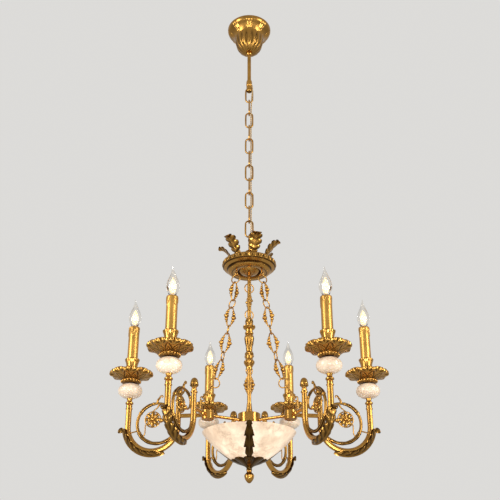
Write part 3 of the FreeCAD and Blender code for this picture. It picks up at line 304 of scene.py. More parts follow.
class Build:
    """Collects closed grids and writes them as one mesh."""

    def __init__(self):
        self.points, self.quads, self.tris, self.reliefs, self.count = [], [], [], [], 0

    def add(self, grid, relief=None, places=None, ends="caps"):
        """Adds a grid whose columns run round the section. ends: caps closes the first and last row
        by a middle point, ring joins the last row to the first."""
        grid = np.asarray(grid, float)
        rows, columns = grid.shape[:2]
        relief = np.broadcast_to(0.5 if relief is None else relief, (rows, columns))
        r = np.arange(rows if ends == "ring" else rows - 1)[:, None]
        c = np.arange(columns)[None, :]
        r2, c2 = (r + 1) % rows, (c + 1) % columns
        row, next_row = r * columns, r2 * columns
        quads = np.stack([row + c, row + c2, next_row + c2, next_row + c], -1).reshape(-1, 4)
        points, tris = grid.reshape(-1, 3), np.zeros((0, 3), int)
        relief = relief.reshape(-1)
        if ends == "caps":
            near, far = rows * columns, rows * columns + 1
            k = np.arange(columns)
            k2 = (k + 1) % columns
            last = (rows - 1) * columns
            tris = np.concatenate([np.stack([k2, k, np.full(columns, near)], 1),
                                   np.stack([last + k, last + k2, np.full(columns, far)], 1)])
            points = np.vstack([points, grid[0].mean(0), grid[-1].mean(0)])
            relief = np.append(relief, [relief[:columns].mean(), relief[-columns:].mean()])
        corners = np.vstack([quads[:, [0, 1, 2]], quads[:, [0, 2, 3]], tris])
        p, q, w = (points[corners[:, i]] for i in range(3))
        if np.einsum("ij,ij->i", p, np.cross(q, w)).sum() < 0:
            quads, tris = quads[:, ::-1], tris[:, ::-1]
        for turn, base in places or [(np.eye(3), np.zeros(3))]:
            self.points.append(points @ turn + base)
            self.quads.append(quads + self.count)
            self.tris.append(tris + self.count)
            self.reliefs.append(relief)
            self.count += len(points)
        return self

    def write(self, name, material, body, nodes=(), slot=None, sharp=38.0):
        """Writes the mesh in metres, smooth but for edges sharper than sharp, and seats the piece."""
        mesh = bpy.data.meshes.new(name)
        points = np.vstack(self.points) * MM
        faces = np.vstack(self.quads).tolist() + np.vstack(self.tris).tolist()
        mesh.from_pydata(points.tolist(), [], faces)
        relief = mesh.attributes.new("relief", "FLOAT", "POINT")
        relief.data.foreach_set("value", np.concatenate(self.reliefs).astype(np.float32))
        mesh.polygons.foreach_set("use_smooth", np.ones(len(mesh.polygons), bool))
        mesh.set_sharp_from_angle(angle=math.radians(sharp))
        mesh.materials.append(material)
        piece = bpy.data.objects.new(name, mesh)
        bpy.context.scene.collection.objects.link(piece)
        if body:
            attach(piece, body)
        if nodes:
            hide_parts(*nodes)
        return piece


def finish_node(names, material):
    """Gives kept CAD nodes their finish."""
    for name in names:
        slots = frame["nodes"][name].data.materials
        slots.clear()
        slots.append(material)


# ------------------------------------------------------------------ materials


class Nodes:
    """Short calls for building a material's node tree."""

    def __init__(self, name):
        self.material = bpy.data.materials.new(name)
        self.material.use_nodes = True
        self.tree = self.material.node_tree
        self.tree.nodes.clear()
        self.output = self.new("ShaderNodeOutputMaterial")

    def new(self, kind, **values):
        """A node of a kind, with its properties set."""
        made = self.tree.nodes.new(kind)
        for key, value in values.items():
            setattr(made, key, value)
        return made

    def join(self, source, target):
        """Links two sockets."""
        self.tree.links.new(source, target)

    def place(self):
        """Object coordinates."""
        return self.new("ShaderNodeTexCoord").outputs["Object"]

    def noise(self, scale, detail=3.0, rough=0.55, stretch=None):
        """Noise on object coordinates, its scale per metre."""
        made = self.new("ShaderNodeTexNoise")
        made.inputs["Scale"].default_value = scale
        made.inputs["Detail"].default_value = detail
        made.inputs["Roughness"].default_value = rough
        source = self.place()
        if stretch:
            mapping = self.new("ShaderNodeMapping")
            mapping.inputs["Scale"].default_value = stretch
            self.join(source, mapping.inputs["Vector"])
            source = mapping.outputs["Vector"]
        self.join(source, made.inputs["Vector"])
        return made.outputs["Fac"]

    def ramp(self, source, *stops):
        """Colour ramp; a stop is (place, colour) and a bare number is a grey."""
        made = self.new("ShaderNodeValToRGB")
        elements = made.color_ramp.elements
        while len(elements) < len(stops):
            elements.new(0.5)
        for element, (where, colour) in zip(elements, stops):
            element.position = where
            colour = (colour,) * 3 if isinstance(colour, (int, float)) else tuple(colour)
            element.color = (*colour, 1.0)
        self.join(source, made.inputs["Fac"])
        return made.outputs["Color"]

    def mix(self, factor, first, second):
        """Colour between two, by a factor."""
        made = self.new("ShaderNodeMix", data_type="RGBA")
        for key, value in (("Factor", factor), ("A", first), ("B", second)):
            self.feed(made.inputs[key], value)
        return made.outputs["Result"]

    def math(self, operation, first, second):
        """Value worked out from two sockets or numbers."""
        made = self.new("ShaderNodeMath", operation=operation)
        self.feed(made.inputs[0], first)
        self.feed(made.inputs[1], second)
        return made.outputs["Value"]

    def feed(self, socket, value):
        """Links a socket's source, or sets its number or colour."""
        if isinstance(value, bpy.types.NodeSocket):
            self.join(value, socket)
        elif isinstance(value, (int, float)):
            socket.default_value = value if socket.type == "VALUE" else (value, value, value, 1.0)
        elif socket.type == "VECTOR":
            socket.default_value = tuple(value)
        else:
            socket.default_value = (*tuple(value)[:3], 1.0)

    def relief(self):
        """The mesh attribute that is 0 in hollows and 1 on ridges."""
        made = self.new("ShaderNodeAttribute")
        made.attribute_name = "relief"
        return made.outputs["Fac"]

    def shader(self, **values):
        """Principled shader; a value is a socket, a number or a colour."""
        made = self.new("ShaderNodeBsdfPrincipled")
        for key, value in values.items():
            self.feed(made.inputs[key.replace("_", " ")], value)
        self.join(made.outputs["BSDF"], self.output.inputs["Surface"])
        return made

    def bump(self, shader, height, distance, strength=1.0):
        """Bump of a real height in metres."""
        made = self.new("ShaderNodeBump")
        made.inputs["Distance"].default_value = distance
        made.inputs["Strength"].default_value = strength
        self.join(height, made.inputs["Height"])
        self.join(made.outputs["Normal"], shader.inputs["Normal"])


def turned_brass(name="turned brass", roughness=None, grain=(1, 1, 1), tone=None):
    """Lacquered turned brass: warm clouds, a little darker in patches, fine rubbing marks."""
    brass = settings("brass")
    polish = brass.polish if roughness is None else roughness
    n = Nodes(name)
    cloud = n.noise(18, 4, 0.6)
    fine = n.noise(260, 3, 0.6, grain)
    bright = tuple(tone or brass.bright)
    worn = tuple(0.72 * c for c in bright)
    colour = n.ramp(cloud, (0.3, worn), (0.52, bright), (0.75, tuple(min(1, 1.1 * c) for c in bright)))
    rough = n.ramp(n.math("ADD", n.math("MULTIPLY", cloud, 0.5), n.math("MULTIPLY", fine, 0.5)),
                   (0.3, max(0.05, polish - 0.09)), (0.7, polish + 0.12))
    shader = n.shader(Base_Color=colour, Metallic=1.0, Roughness=rough)
    n.bump(shader, fine, 0.00006, 0.6)
    return n.material


def cast_brass(name="cast brass", darker=1.0):
    """Cast ornament: dark in the hollows, partly patina and partly painted shade, rubbed bright on the
    ridges, sandy skin.
    """
    brass = settings("brass")
    n = Nodes(name)
    sand = n.noise(420, 4, 0.65)
    cloud = n.noise(30, 3, 0.6)
    height = n.math("ADD", n.relief(), n.math("MULTIPLY", n.math("SUBTRACT", cloud, 0.5), 0.4))
    bright = tuple(c * darker for c in brass.bright)
    mid = tuple(0.5 * b + 0.4 * d for b, d in zip(bright, brass.patina_and_shade))
    # The relief ramp darkens the hollows towards the patina colour, which also paints the shade in the
    # recesses.
    colour = n.ramp(height, (0.16, brass.patina_and_shade), (0.45, mid), (0.72, bright))
    rough = n.ramp(height, (0.1, 0.55), (0.75, 0.2))
    shader = n.shader(Base_Color=colour, Metallic=1.0, Roughness=rough)
    n.bump(shader, sand, 0.00012, 0.4)
    return n.material


def alabaster(name, glow):
    """Alabaster: pale ground, soft brown clouds and thin veins; where the piece is lit, the light
    comes through in the same pattern, stronger where the lamps stand near (the relief attribute)."""
    stone, lamps = settings("stone"), settings("lamps")
    n = Nodes(name)
    cloud = n.noise(9, 6, 0.64)
    bend = n.noise(13, 5, 0.62)
    line = n.math("ABSOLUTE", n.math("SUBTRACT", bend, 0.5), 0.0)
    vein = n.ramp(line, (0.0, 1.0), (0.016, 0.3), (0.07, 0.0))
    between = tuple(0.5 * (a + b) for a, b in zip(stone.pale, stone.veined))
    ground = n.ramp(cloud, (0.34, stone.veined), (0.5, between), (0.6, stone.pale))
    soft = n.mix(0.22 if glow else 0.62, ground, stone.pale)
    colour = n.mix(n.math("MULTIPLY", vein, 0.42), soft, stone.veined)
    values = {"Base_Color": colour, "Roughness": 0.3, "IOR": 1.52}
    if glow:
        warm = n.mix(0.18, colour, lamps.warm)
        level = n.math("MULTIPLY", n.math("ADD", n.math("MULTIPLY", n.relief(), 0.75), 0.5), glow)
        values.update(Emission_Color=warm, Emission_Strength=level)
    else:
        values.update(Subsurface_Weight=0.35, Subsurface_Scale=0.006, Subsurface_Radius=(1.0, 0.75, 0.5))
    shader = n.shader(**values)
    n.bump(shader, n.noise(160, 3, 0.5), 0.0001, 0.4)
    return n.material


def bulb_glass():
    """Clear blown glass with faint swirls."""
    n = Nodes("bulb glass")
    shader = n.shader(Base_Color=(0.90, 0.87, 0.82), Roughness=0.02, IOR=1.5, Transmission_Weight=1.0)
    n.bump(shader, n.noise(45, 2, 0.5, (1, 1, 0.3)), 0.0002, 0.25)
    return n.material


def lit_core(name="lit core", share=1.0):
    """Frosted light core, hotter towards its middle."""
    lamps = settings("lamps")
    n = Nodes(name)
    heat = n.relief()
    colour = n.ramp(heat, (0.0, lamps.warm), (1.0, (1.0, 0.76, 0.38)))
    level = n.math("MULTIPLY", n.math("ADD", n.math("MULTIPLY", heat, 0.7), 0.3), lamps.power * share)
    n.shader(Base_Color=(0.9, 0.8, 0.6), Roughness=0.5, Emission_Color=colour, Emission_Strength=level)
    return n.material


def porcelain():
    """Heat-proof off-white lamp holder, faintly yellowed."""
    n = Nodes("lamp holder")
    colour = n.ramp(n.noise(60, 3), (0.3, (0.72, 0.69, 0.62)), (0.7, (0.82, 0.80, 0.75)))
    shader = n.shader(Base_Color=colour, Roughness=0.45)
    n.bump(shader, n.noise(300, 2), 0.0001, 0.4)
    return n.material


def zinc_steel():
    """Zinc-plated steel with its spangle."""
    n = Nodes("zinc plated steel")
    colour = n.ramp(n.noise(140, 2), (0.35, (0.42, 0.43, 0.45)), (0.65, (0.66, 0.66, 0.66)))
    rough = n.ramp(n.noise(90, 3), (0.3, 0.28), (0.7, 0.5))
    shader = n.shader(Base_Color=colour, Metallic=1.0, Roughness=rough)
    n.bump(shader, n.noise(500, 2), 0.00008, 0.5)
    return n.material


def cord_sleeve():
    """Gold-tinted clear sleeve over twisted cores; the twist follows the relief attribute."""
    n = Nodes("cord sleeve")
    colour = n.ramp(n.relief(), (0.2, (0.17, 0.09, 0.03)), (0.8, (0.55, 0.36, 0.14)))
    shader = n.shader(Base_Color=colour, Roughness=0.32, Coat_Weight=0.7, Coat_Roughness=0.12)
    n.bump(shader, n.noise(220, 2), 0.0001, 0.5)
    return n.material


MATERIALS = {}


def finish(name):
    """The finishes by name, each made once."""
    makers = {
        "turned": turned_brass,
        "satin": lambda: turned_brass("satin gold", 0.36, (1, 1, 0.15), tuple(settings("brass").satin)),
        "rod": lambda: turned_brass("drawn brass", 0.22, (1, 1, 0.05)),
        "cast": cast_brass,
        "dark": lambda: cast_brass("dark cast brass", 0.62),
        "bronze": lambda: cast_brass("dark bronze", 0.22),
        "stone": lambda: alabaster("honed alabaster", 0.0),
        "lit stone": lambda: alabaster("lit alabaster", settings("stone").glow),
        "glass": bulb_glass,
        "core": lit_core,
        "pin core": lambda: lit_core("pin lamp core", 2.2),
        "porcelain": porcelain,
        "steel": zinc_steel,
        "cord": cord_sleeve,
    }
    if name not in MATERIALS:
        MATERIALS[name] = makers[name]()
    return MATERIALS[name]


# ------------------------------------------------------------------ places of the repeated parts


def candle_axes():
    """Axis of each candle, from the middles of the six bulbs."""
    return [middle(f"candle_bulb_{i}")[:2] for i in range(1, 7)]


def on_candles():
    """Placements of a piece drawn on the Z axis onto the candle axes, facing outwards."""
    found = []
    for x, y in candle_axes():
        azimuth = math.degrees(math.atan2(y, x))
        (turn, _), = about_axis([azimuth])
        found.append((turn, np.array([x, y, 0.0])))
    return found


def boss_distance():
    """The bosses from the axis: the far side of the back boss, less half its width."""
    half_width = 22.0
    return span("arm_bosses")[1][1] - half_width


def arm_places():
    """Placements that lay a piece drawn along +X from a boss centre along each arm."""
    found = []
    distance = boss_distance()
    for i, (x, y) in enumerate(candle_axes()):
        azimuth = math.radians(BOSS_AZIMUTHS[i // 2])
        foot = np.array([distance * math.cos(azimuth), distance * math.sin(azimuth)])
        way = np.array([x, y]) - foot
        c, n = way / np.linalg.norm(way)
        found.append((np.array([[c, n, 0], [-n, c, 0], [0, 0, 1]]), np.array([*foot, 0.0])))
    return found


def arm_reach():
    """Distance from a boss to the axis of its candle."""
    x, y = candle_axes()[0]
    azimuth = math.radians(BOSS_AZIMUTHS[0])
    distance = boss_distance()
    return math.hypot(x - distance * math.cos(azimuth), y - distance * math.sin(azimuth))


# The two upright runs of an arm are POST_INSET apart, their bend turns about BEND_LEVEL, and
# ARM_TUBE is the tube's radius.
POST_INSET = 131.0
BEND_LEVEL = -1371.0
ARM_TUBE = 7.6


# ------------------------------------------------------------------ ceiling end and chain


class CHANDELIER_OT_ceiling_end(bpy.types.Operator):
    """Canopy with its fluted bell and palmettes, stem, bracket and wiring."""

    bl_idname = "chandelier.ceiling_end"
    bl_label = "Ceiling end"

    def execute(self, context):
        low, high = span("canopy")
        level, height, rim = low[2], high[2] - low[2], radius_of("canopy")
        outside = flowing([
            (6.9, 0), (15, 0.6), (24.5, 4.5), (37, 17), (44.4, 36), (46.6, 53), (47.6, 63),
            (51.5, 70), (60, 79), (68.6, 86), (rim - 0.4, 94), (70.5, 99.2), (63, height - 0.3)], 90)
        inside = outside[::-1] * [0.965, 1] + [-0.9, 1.0]
        inside = inside[(inside[:, 0] > 7.2) & (inside[:, 1] < height - 2.5)]
        profile = np.vstack([outside, inside]) + [0, level]

        def fluted(share, angle):
            """Flutes round the bell and a ray-cut fan above every second one."""
            rise = np.clip((profile[:, 1:] - level) / height, 0, 1)
            bell = np.clip(1 - np.abs(rise - 0.3) / 0.34, 0, 1) ** 0.8
            flutes = -0.105 * bell * (1 - np.abs(np.cos(8 * angle))) ** 1.2
            palm = np.exp(-((rise - 0.77) / 0.085) ** 2)
            fan = palm * np.clip(np.cos(8 * angle) * 1.4, 0, 1) * (0.6 + 0.4 * np.cos(56 * angle))
            outer = (np.arange(len(profile)) < len(outside))[:, None]
            return (flutes + 0.06 * fan - 0.012 * palm) * outer

        grid = turned(profile, 360, fluted)
        ripple = fluted(None, np.linspace(0, TAU, 360, endpoint=False)[None, :])
        relief = np.clip(0.62 + 7 * ripple, 0, 1)
        Build().add(grid, relief, ends="ring").write(
            "canopy_bell", finish("cast"), "canopy_cover", ["canopy"], "antique_brass")
        finish_node(["canopy_stem"], finish("rod"))
        finish_node(["canopy_collar", "stem_clevis", "clevis_pin"], finish("turned"))
        finish_node(["ceiling_bracket", "stem_nuts"], finish("steel"))
        finish_node(["terminal_block"], finish("porcelain"))
        return {"FINISHED"}


class CHANDELIER_OT_chain(bpy.types.Operator):
    """Links of the main chain: a drawn wire bent to each link, brazed at one side."""

    bl_idname = "chandelier.chain"
    bl_label = "Main chain"

    def execute(self, context):
        for i in range(1, LINKS + 1):
            node = f"chain_link_{i:02d}"
            low, high = span(node)
            centre, half = (low + high) / 2, (high - low) / 2
            wire = min(half[0], half[1])
            width, length = max(half[0], half[1]) - wire, half[2] - wire
            turn = np.linspace(0, TAU, 72, endpoint=False)
            straight = length - width
            path = np.stack([width * np.cos(turn), 0 * turn, width * np.sin(turn)], 1)
            path[:, 2] += straight * np.clip(4 * np.sin(turn), -1, 1)
            ring = np.vstack([path[-1:], path, path[:1]])
            flash = 1 + 0.1 * np.exp(-(((turn - math.pi * (i % 2)) / 0.09) ** 2))
            grid = swept(ring, wire * np.concatenate([flash[-1:], flash, flash[:1]]), 16)[1:-1]
            if half[1] > half[0]:
                grid = moved(grid, x_to=(0, 1, 0))
            Build().add(grid + centre, ends="ring").write(
                f"main_link_{i:02d}", finish("turned"), f"link_{i:02d}", [node], "antique_brass")
        return {"FINISHED"}


def cord_line():
    """The cord's axis: a spline whose control points are the corners of its route in the part."""
    pitch, first, side, swing = 49.1, -277.0, 5.5, 12.2
    crown_top = span("crown_dish")[1][2]
    route = [(0, 0, -60), (0, 0, -228), (12.6, -6.9, -241.5)]
    route += [(side, swing * (-1) ** (i + 1), first - (2 * i + 1) * pitch) for i in range(6)]
    route += [(11, 9.5, crown_top + 20), (11, 9.5, crown_top - 3)]
    curve = bpy.data.curves.new("cord_axis", "CURVE")
    curve.dimensions = "3D"
    curve.resolution_u = 24
    spline = curve.splines.new("NURBS")
    spline.points.add(len(route) - 1)
    for point, corner in zip(spline.points, route):
        point.co = (*corner, 1.0)
    spline.order_u = 3
    spline.use_endpoint_u = True
    holder = bpy.data.objects.new("cord_axis", curve)
    mesh = bpy.data.meshes.new_from_object(holder)
    line = np.array([v.co for v in mesh.vertices])
    bpy.data.objects.remove(holder)
    bpy.data.meshes.remove(mesh)
    bpy.data.curves.remove(curve)
    return line


class CHANDELIER_OT_supply_cord(bpy.types.Operator):
    """Supply cord woven through the chain, in one stretch per link so that it turns with them."""

    bl_idname = "chandelier.supply_cord"
    bl_label = "Supply cord"

    def execute(self, context):
        line = cord_line()
        run = np.concatenate([[0], np.cumsum(np.linalg.norm(np.diff(line, axis=0), axis=1))])
        even = np.linspace(0, run[-1], int(run[-1] / 1.6))
        line = np.stack([np.interp(even, run, line[:, k]) for k in range(3)], 1)
        bodies = ["ceiling_mount"] + [f"link_{i:02d}" for i in range(1, LINKS + 1)] + ["chandelier"]
        pivots = {j["child"]: j["pos_m"][2] / MM for j in frame["joints"] if j["type"] == "hinge"}
        cuts = [line[0, 2]] + [pivots[body] for body in bodies[1:]] + [line[-1, 2]]
        lap = 2.5
        angle = np.linspace(0, TAU, 12, endpoint=False)[None, :]
        for k, body in enumerate(bodies):
            inside = (line[:, 2] <= cuts[k] + lap) & (line[:, 2] >= cuts[k + 1] - lap)
            twist = TAU * even[inside][:, None] / 14.0
            grid = swept(line[inside], 2.1, 12, ripple=lambda s, a: 0.05 * np.cos(2 * a + 2 * twist))
            piece = Build().add(grid, 0.5 + 0.5 * np.cos(2 * angle + 2 * twist)).write(
                f"cord_stretch_{k + 1:02d}", finish("cord"), body)
            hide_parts("supply_cord")
        return {"FINISHED"}


# ------------------------------------------------------------------ crown and column


class CHANDELIER_OT_crown(bpy.types.Operator):
    """Crown dish with its leafy rim, polished bands, dome and eyelets."""

    bl_idname = "chandelier.crown"
    bl_label = "Crown"

    def execute(self, context):
        level, rim = span("crown_dish")[0][2], radius_of("crown_dish")
        outside = [(31.8, 9), (31.8, 4.4), (36, 2.4), (41, 0.6), (47, 0.2), (54, 0.6), (58, 2.2),
                   (61, 4.4), (62.6, 6.6), (62.8, 9), (61.9, 11), (64.5, 12.4), (69.5, 14.3),
                   (73.3, 15.6), (74.6, 17), (75.4, 18.4), (77.8, 20.4), (rim - 0.5, 24.5),
                   (rim - 0.4, 28), (77, 31.6), (74.5, 33.4)]
        dense = straight_steps(outside, 4)
        inside = [(73, 31.4), (72.4, 22.5), (60.5, 16.3), (55.6, 13.8), (53.8, 35), (49, 43.6),
                  (9, 43.9), (8.5, 40), (31.4, 38)]
        back = straight_steps(inside, 3)
        profile = np.vstack([dense, back]) + [0, level]
        height = profile[:, 1:] - level
        radius = profile[:, :1]
        outer = (np.arange(len(profile)) < len(dense))[:, None]

        rim_zone = np.exp(-(((height - 25.5) / 5.5) ** 2)) * outer * (radius > 73.5)

        def leafage(share, angle):
            """Leaves round the rim, each with two smaller lobes."""
            leaf_row = np.abs(np.cos(14 * angle)) ** 0.8 * (0.75 + 0.25 * np.cos(84 * angle))
            return 0.045 * rim_zone * (leaf_row - 1)

        def drop(share, angle):
            """Lower edge of the rim drawn down at each leaf."""
            return -1.6 * rim_zone * np.abs(np.cos(14 * angle)) * (height < 25)

        angle = np.linspace(0, TAU, 448, endpoint=False)[None, :]
        grid = turned(profile, 448, leafage, drop)
        # The grooves between the polished bands and the gaps between the rim leaves get a lower relief, so
        # the cast brass paints shade in them, with some patina.
        painted_groove_shade = sum(np.exp(-(((radius - r) / 1.5) ** 2)) for r in (33.0, 49.5, 63.2, 74.8)) * outer
        relief = np.clip(0.84 + 20 * leafage(None, angle) - 0.75 * painted_groove_shade, 0, 1)
        Build().add(grid, relief, ends="ring").write(
            "crown_rim_and_bands", finish("cast"), "chandelier", ["crown_dish"], "antique_brass")
        finish_node(["crown_dome", "crown_loop", "chain_eyelets"], finish("turned"))
        return {"FINISHED"}


class CHANDELIER_OT_crown_leaves(bpy.types.Operator):
    """Six acanthus leaves that rise from the crown and lean outwards."""

    bl_idname = "chandelier.crown_leaves"
    bl_label = "Crown leaves"

    def execute(self, context):
        leaves = settings("leaves")
        low, high = span("crown_leaves")
        reach = (high[0] - low[0]) / 2 + 1.0
        base, top = low[2], high[2] - 1.2
        rise = top - base
        shares = np.array([(0.455, 0, 0), (0.55, 0, 0.24), (0.64, 0, 0.5), (0.76, 0, 0.8),
                           (0.88, 0, 0.95), (0.965, 0, 0.93)])
        spine = flowing(shares * [reach, 0, rise] + [0, 0, base], 72)
        along = np.gradient(spine, axis=0)
        normal = np.stack([along[:, 2], 0 * along[:, 0], -along[:, 0]], 1)
        normal /= np.linalg.norm(normal, axis=1, keepdims=True)
        s = np.linspace(0, 1, len(spine))
        width = leaves.crown_width * np.clip(np.sin(math.pi * np.clip(0.1 + 0.9 * s, 0, 1)) ** 0.55, 0.1, 1)
        width *= 0.86 + 0.14 * np.sin(math.pi * s)
        grid, relief = leaf(
            spine, normal, width, 2.6, leaves.crown_lobes, cup=-0.16, shear=-0.22, columns=44)
        Build().add(grid, relief, about_axis(LEAF_AZIMUTHS)).write(
            "crown_acanthus", finish("cast"), "chandelier", ["crown_leaves"], "dark_brass")
        return {"FINISHED"}


class CHANDELIER_OT_column(bpy.types.Operator):
    """Column rod, leafy baluster, flared foot, hub drum, spokes, bosses and tie rod."""

    bl_idname = "chandelier.column"
    bl_label = "Column and hub"

    def execute(self, context):
        low, high = span("baluster")
        widest = radius_of("baluster")
        bore = radius_of("column_rod") + 0.03
        height = high[2] - low[2]
        shares = [(0.45, 0), (0.48, 0.05), (0.72, 0.1), (0.86, 0.13), (0.86, 0.16), (0.6, 0.2),
                  (0.6, 0.27), (0.7, 0.29), (0.7, 0.32), (0.5, 0.35), (0.55, 0.45), (0.72, 0.55),
                  (0.8, 0.61), (0.72, 0.66), (0.56, 0.68), (0.7, 0.7), (0.7, 0.72), (0.58, 0.735),
                  (0.6, 0.78), (0.86, 0.8), (1, 0.82), (1, 0.85), (0.8, 0.87), (0.62, 0.88),
                  (0.66, 0.94), (0.66, 0.96), (0.5, 1)]
        dense = straight_steps(np.array(shares) * [widest * 0.985, height], 4)
        profile = np.vstack([dense, [(bore, height - 0.05)], [(bore, 0.05)]]) + [0, low[2]]
        rise = (profile[:, 1:] - low[2]) / height

        def carved(share, angle):
            """Flutes on the vase, beads on the two rings and gadroons on the two knops."""
            vase = np.clip(1 - np.abs(rise - 0.53) / 0.15, 0, 1) ** 0.6
            beads = np.exp(-((rise - 0.835) / 0.014) ** 2) + np.exp(-((rise - 0.145) / 0.014) ** 2)
            knop = np.exp(-((rise - 0.94) / 0.03) ** 2) + np.exp(-((rise - 0.3) / 0.02) ** 2)
            body = (profile[:, :1] > bore + 0.5)
            flutes = 0.09 * vase * np.abs(np.sin(4 * angle)) ** 1.3
            beading = 0.07 * beads * np.abs(np.sin(9 * angle))
            return -(flutes + beading + 0.08 * knop * np.abs(np.sin(6 * angle))) * body

        angle = np.linspace(0, TAU, 144, endpoint=False)[None, :]
        relief = np.clip(0.78 + 8 * carved(None, angle), 0, 1)
        Build().add(turned(profile, 144, carved), relief, ends="ring").write(
            "carved_baluster", finish("cast"), "chandelier", ["baluster"], "antique_brass")
        finish_node(["column_rod", "tie_rod", "hub_spokes"], finish("rod"))
        finish_node(["rod_flare", "hub_drum", "arm_bosses"], finish("turned"))
        return {"FINISHED"}


# ------------------------------------------------------------------ arms


def arm_line(samples=120):
    """Axis of an arm in (distance from the boss, 0, height): down the inner post, round the bend in
    a half circle and up the outer post."""
    reach = arm_reach()
    inner, radius = reach - POST_INSET, POST_INSET / 2
    inner_top, outer_top = span("acorn_finials")[0][2], span("post_collars")[0][2]
    down = np.linspace(inner_top, BEND_LEVEL, samples // 6, endpoint=False)
    turn = np.linspace(math.pi, TAU, samples // 2)
    up = np.linspace(BEND_LEVEL, outer_top, samples // 6)[1:]
    u = np.concatenate(
        [np.full(len(down), inner), inner + radius + radius * np.cos(turn), np.full(len(up), reach)])
    z = np.concatenate([down, BEND_LEVEL + radius * np.sin(turn), up])
    return np.stack([u, 0 * u, z], 1)


class CHANDELIER_OT_arms(bpy.types.Operator):
    """Reeded arm tubes with their stubs and post rings, in three pairs."""

    bl_idname = "chandelier.arms"
    bl_label = "Arms"

    def execute(self, context):
        reeds = settings("brass").reeds
        line = arm_line()
        reach = arm_reach()
        share = np.linspace(0, 1, len(line))
        radius = ARM_TUBE * (0.92 + 0.08 * np.clip(share * 5, 0, 1))

        def reeding(s, a):
            """Reeds along the tube, fading out at both ends."""
            plain = np.clip(np.minimum(s, 1 - s) * 60 - 0.6, 0, 1)
            return plain * (0.055 * np.abs(np.cos(reeds / 2 * a)) - 0.05)

        tube = swept(line, radius, 12 * reeds // 2 * 2, ripple=reeding)
        angle = np.linspace(0, TAU, tube.shape[1], endpoint=False)[None, :]
        # The relief is lower between the reeds, where the cast brass darkens: painted shade in the grooves,
        # with some patina.
        relief = np.clip(0.6 + 0.35 * np.abs(np.cos(reeds / 2 * angle)), 0, 1) * np.ones((len(line), 1))
        spoke_level = middle("hub_spokes")[2]
        inner = reach - POST_INSET
        stub = moved(turned([(5.5, 0), (5.5, 12), (7.2, 13), (8.2, 16), (7.2, 19), (5.6, 20), (5.5, 24),
                             (5.5, inner - 16)], 32), (15.0, 0, spoke_level), (0, 0, 1), (1, 0, 0))
        nipple_low, nipple_high = span("post_collars")[0][2], span("lamp_holders")[0][2] + 9.5
        nipple = turned([(4.4, nipple_low - 1), (4.4, nipple_high)], 20) + [reach, 0, 0]
        ring = turned([(8.0, -2.2), (9.0, -1.4), (9.2, 0), (9.0, 1.4), (8.0, 2.2), (6, 2.2), (6, -2.2)], 48)
        places = arm_places()
        for pair, name in enumerate(("back", "left", "right")):
            own = places[2 * pair:2 * pair + 2]
            build = Build().add(tube, relief, own).add(stub, 0.8, own).add(nipple, 0.5, own)
            build.add(ring + [inner, 0, line[0, 2] - 4], 0.8, own, ends="ring")
            build.add(ring + [reach, 0, line[-1, 2] - 6], 0.8, own, ends="ring")
            build.write(
                f"reeded_arms_{name}", finish("cast"), "chandelier", [f"arm_pair_{name}"], "antique_brass")
        return {"FINISHED"}


class CHANDELIER_OT_leaf_sheaths(bpy.types.Operator):
    """Acanthus sheaths that wrap the outside of each bend and curl away at the outer post."""

    bl_idname = "chandelier.leaf_sheaths"
    bl_label = "Leaf sheaths"

    def execute(self, context):
        lobes = settings("leaves").sheath_lobes
        centre = arm_reach() - POST_INSET / 2
        radius = POST_INSET / 2 + ARM_TUBE + 1.6
        turn = np.radians(np.linspace(-116, -12, 92))
        bend = np.stack([centre + radius * np.cos(turn), 0 * turn, BEND_LEVEL + radius * np.sin(turn)], 1)
        curl_radius = 8.5
        way = turn[-1] + math.pi / 2
        hub = bend[-1] + curl_radius * np.array([math.sin(way), 0, -math.cos(way)])
        curl_turn = np.linspace(0, 2.7, 26)[1:]
        start = way + math.pi / 2
        shrink = curl_radius * (1 - 0.18 * curl_turn / 2.7)
        curl_turn = start - curl_turn
        curl = hub + np.stack([shrink * np.cos(curl_turn), 0 * curl_turn, shrink * np.sin(curl_turn)], 1)
        spine = np.vstack([bend, curl])
        along = np.gradient(spine, axis=0)
        normal = np.stack([along[:, 2], 0 * along[:, 0], -along[:, 0]], 1)
        normal /= np.linalg.norm(normal, axis=1, keepdims=True)
        s = np.linspace(0, 1, len(spine))
        width = 27.0 * np.clip(np.minimum(6 * s + 0.15, 3.4 * (1 - s) + 0.12), 0, 1) ** 0.8
        grid, relief = leaf(spine, normal, width, 3.4, lobes, cup=-0.5, shear=-0.4, vein=1.9, columns=36)
        Build().add(grid, relief, arm_places()).write(
            "acanthus_sheaths", finish("dark"), "chandelier", ["leaf_sheaths"], "dark_brass")
        return {"FINISHED"}


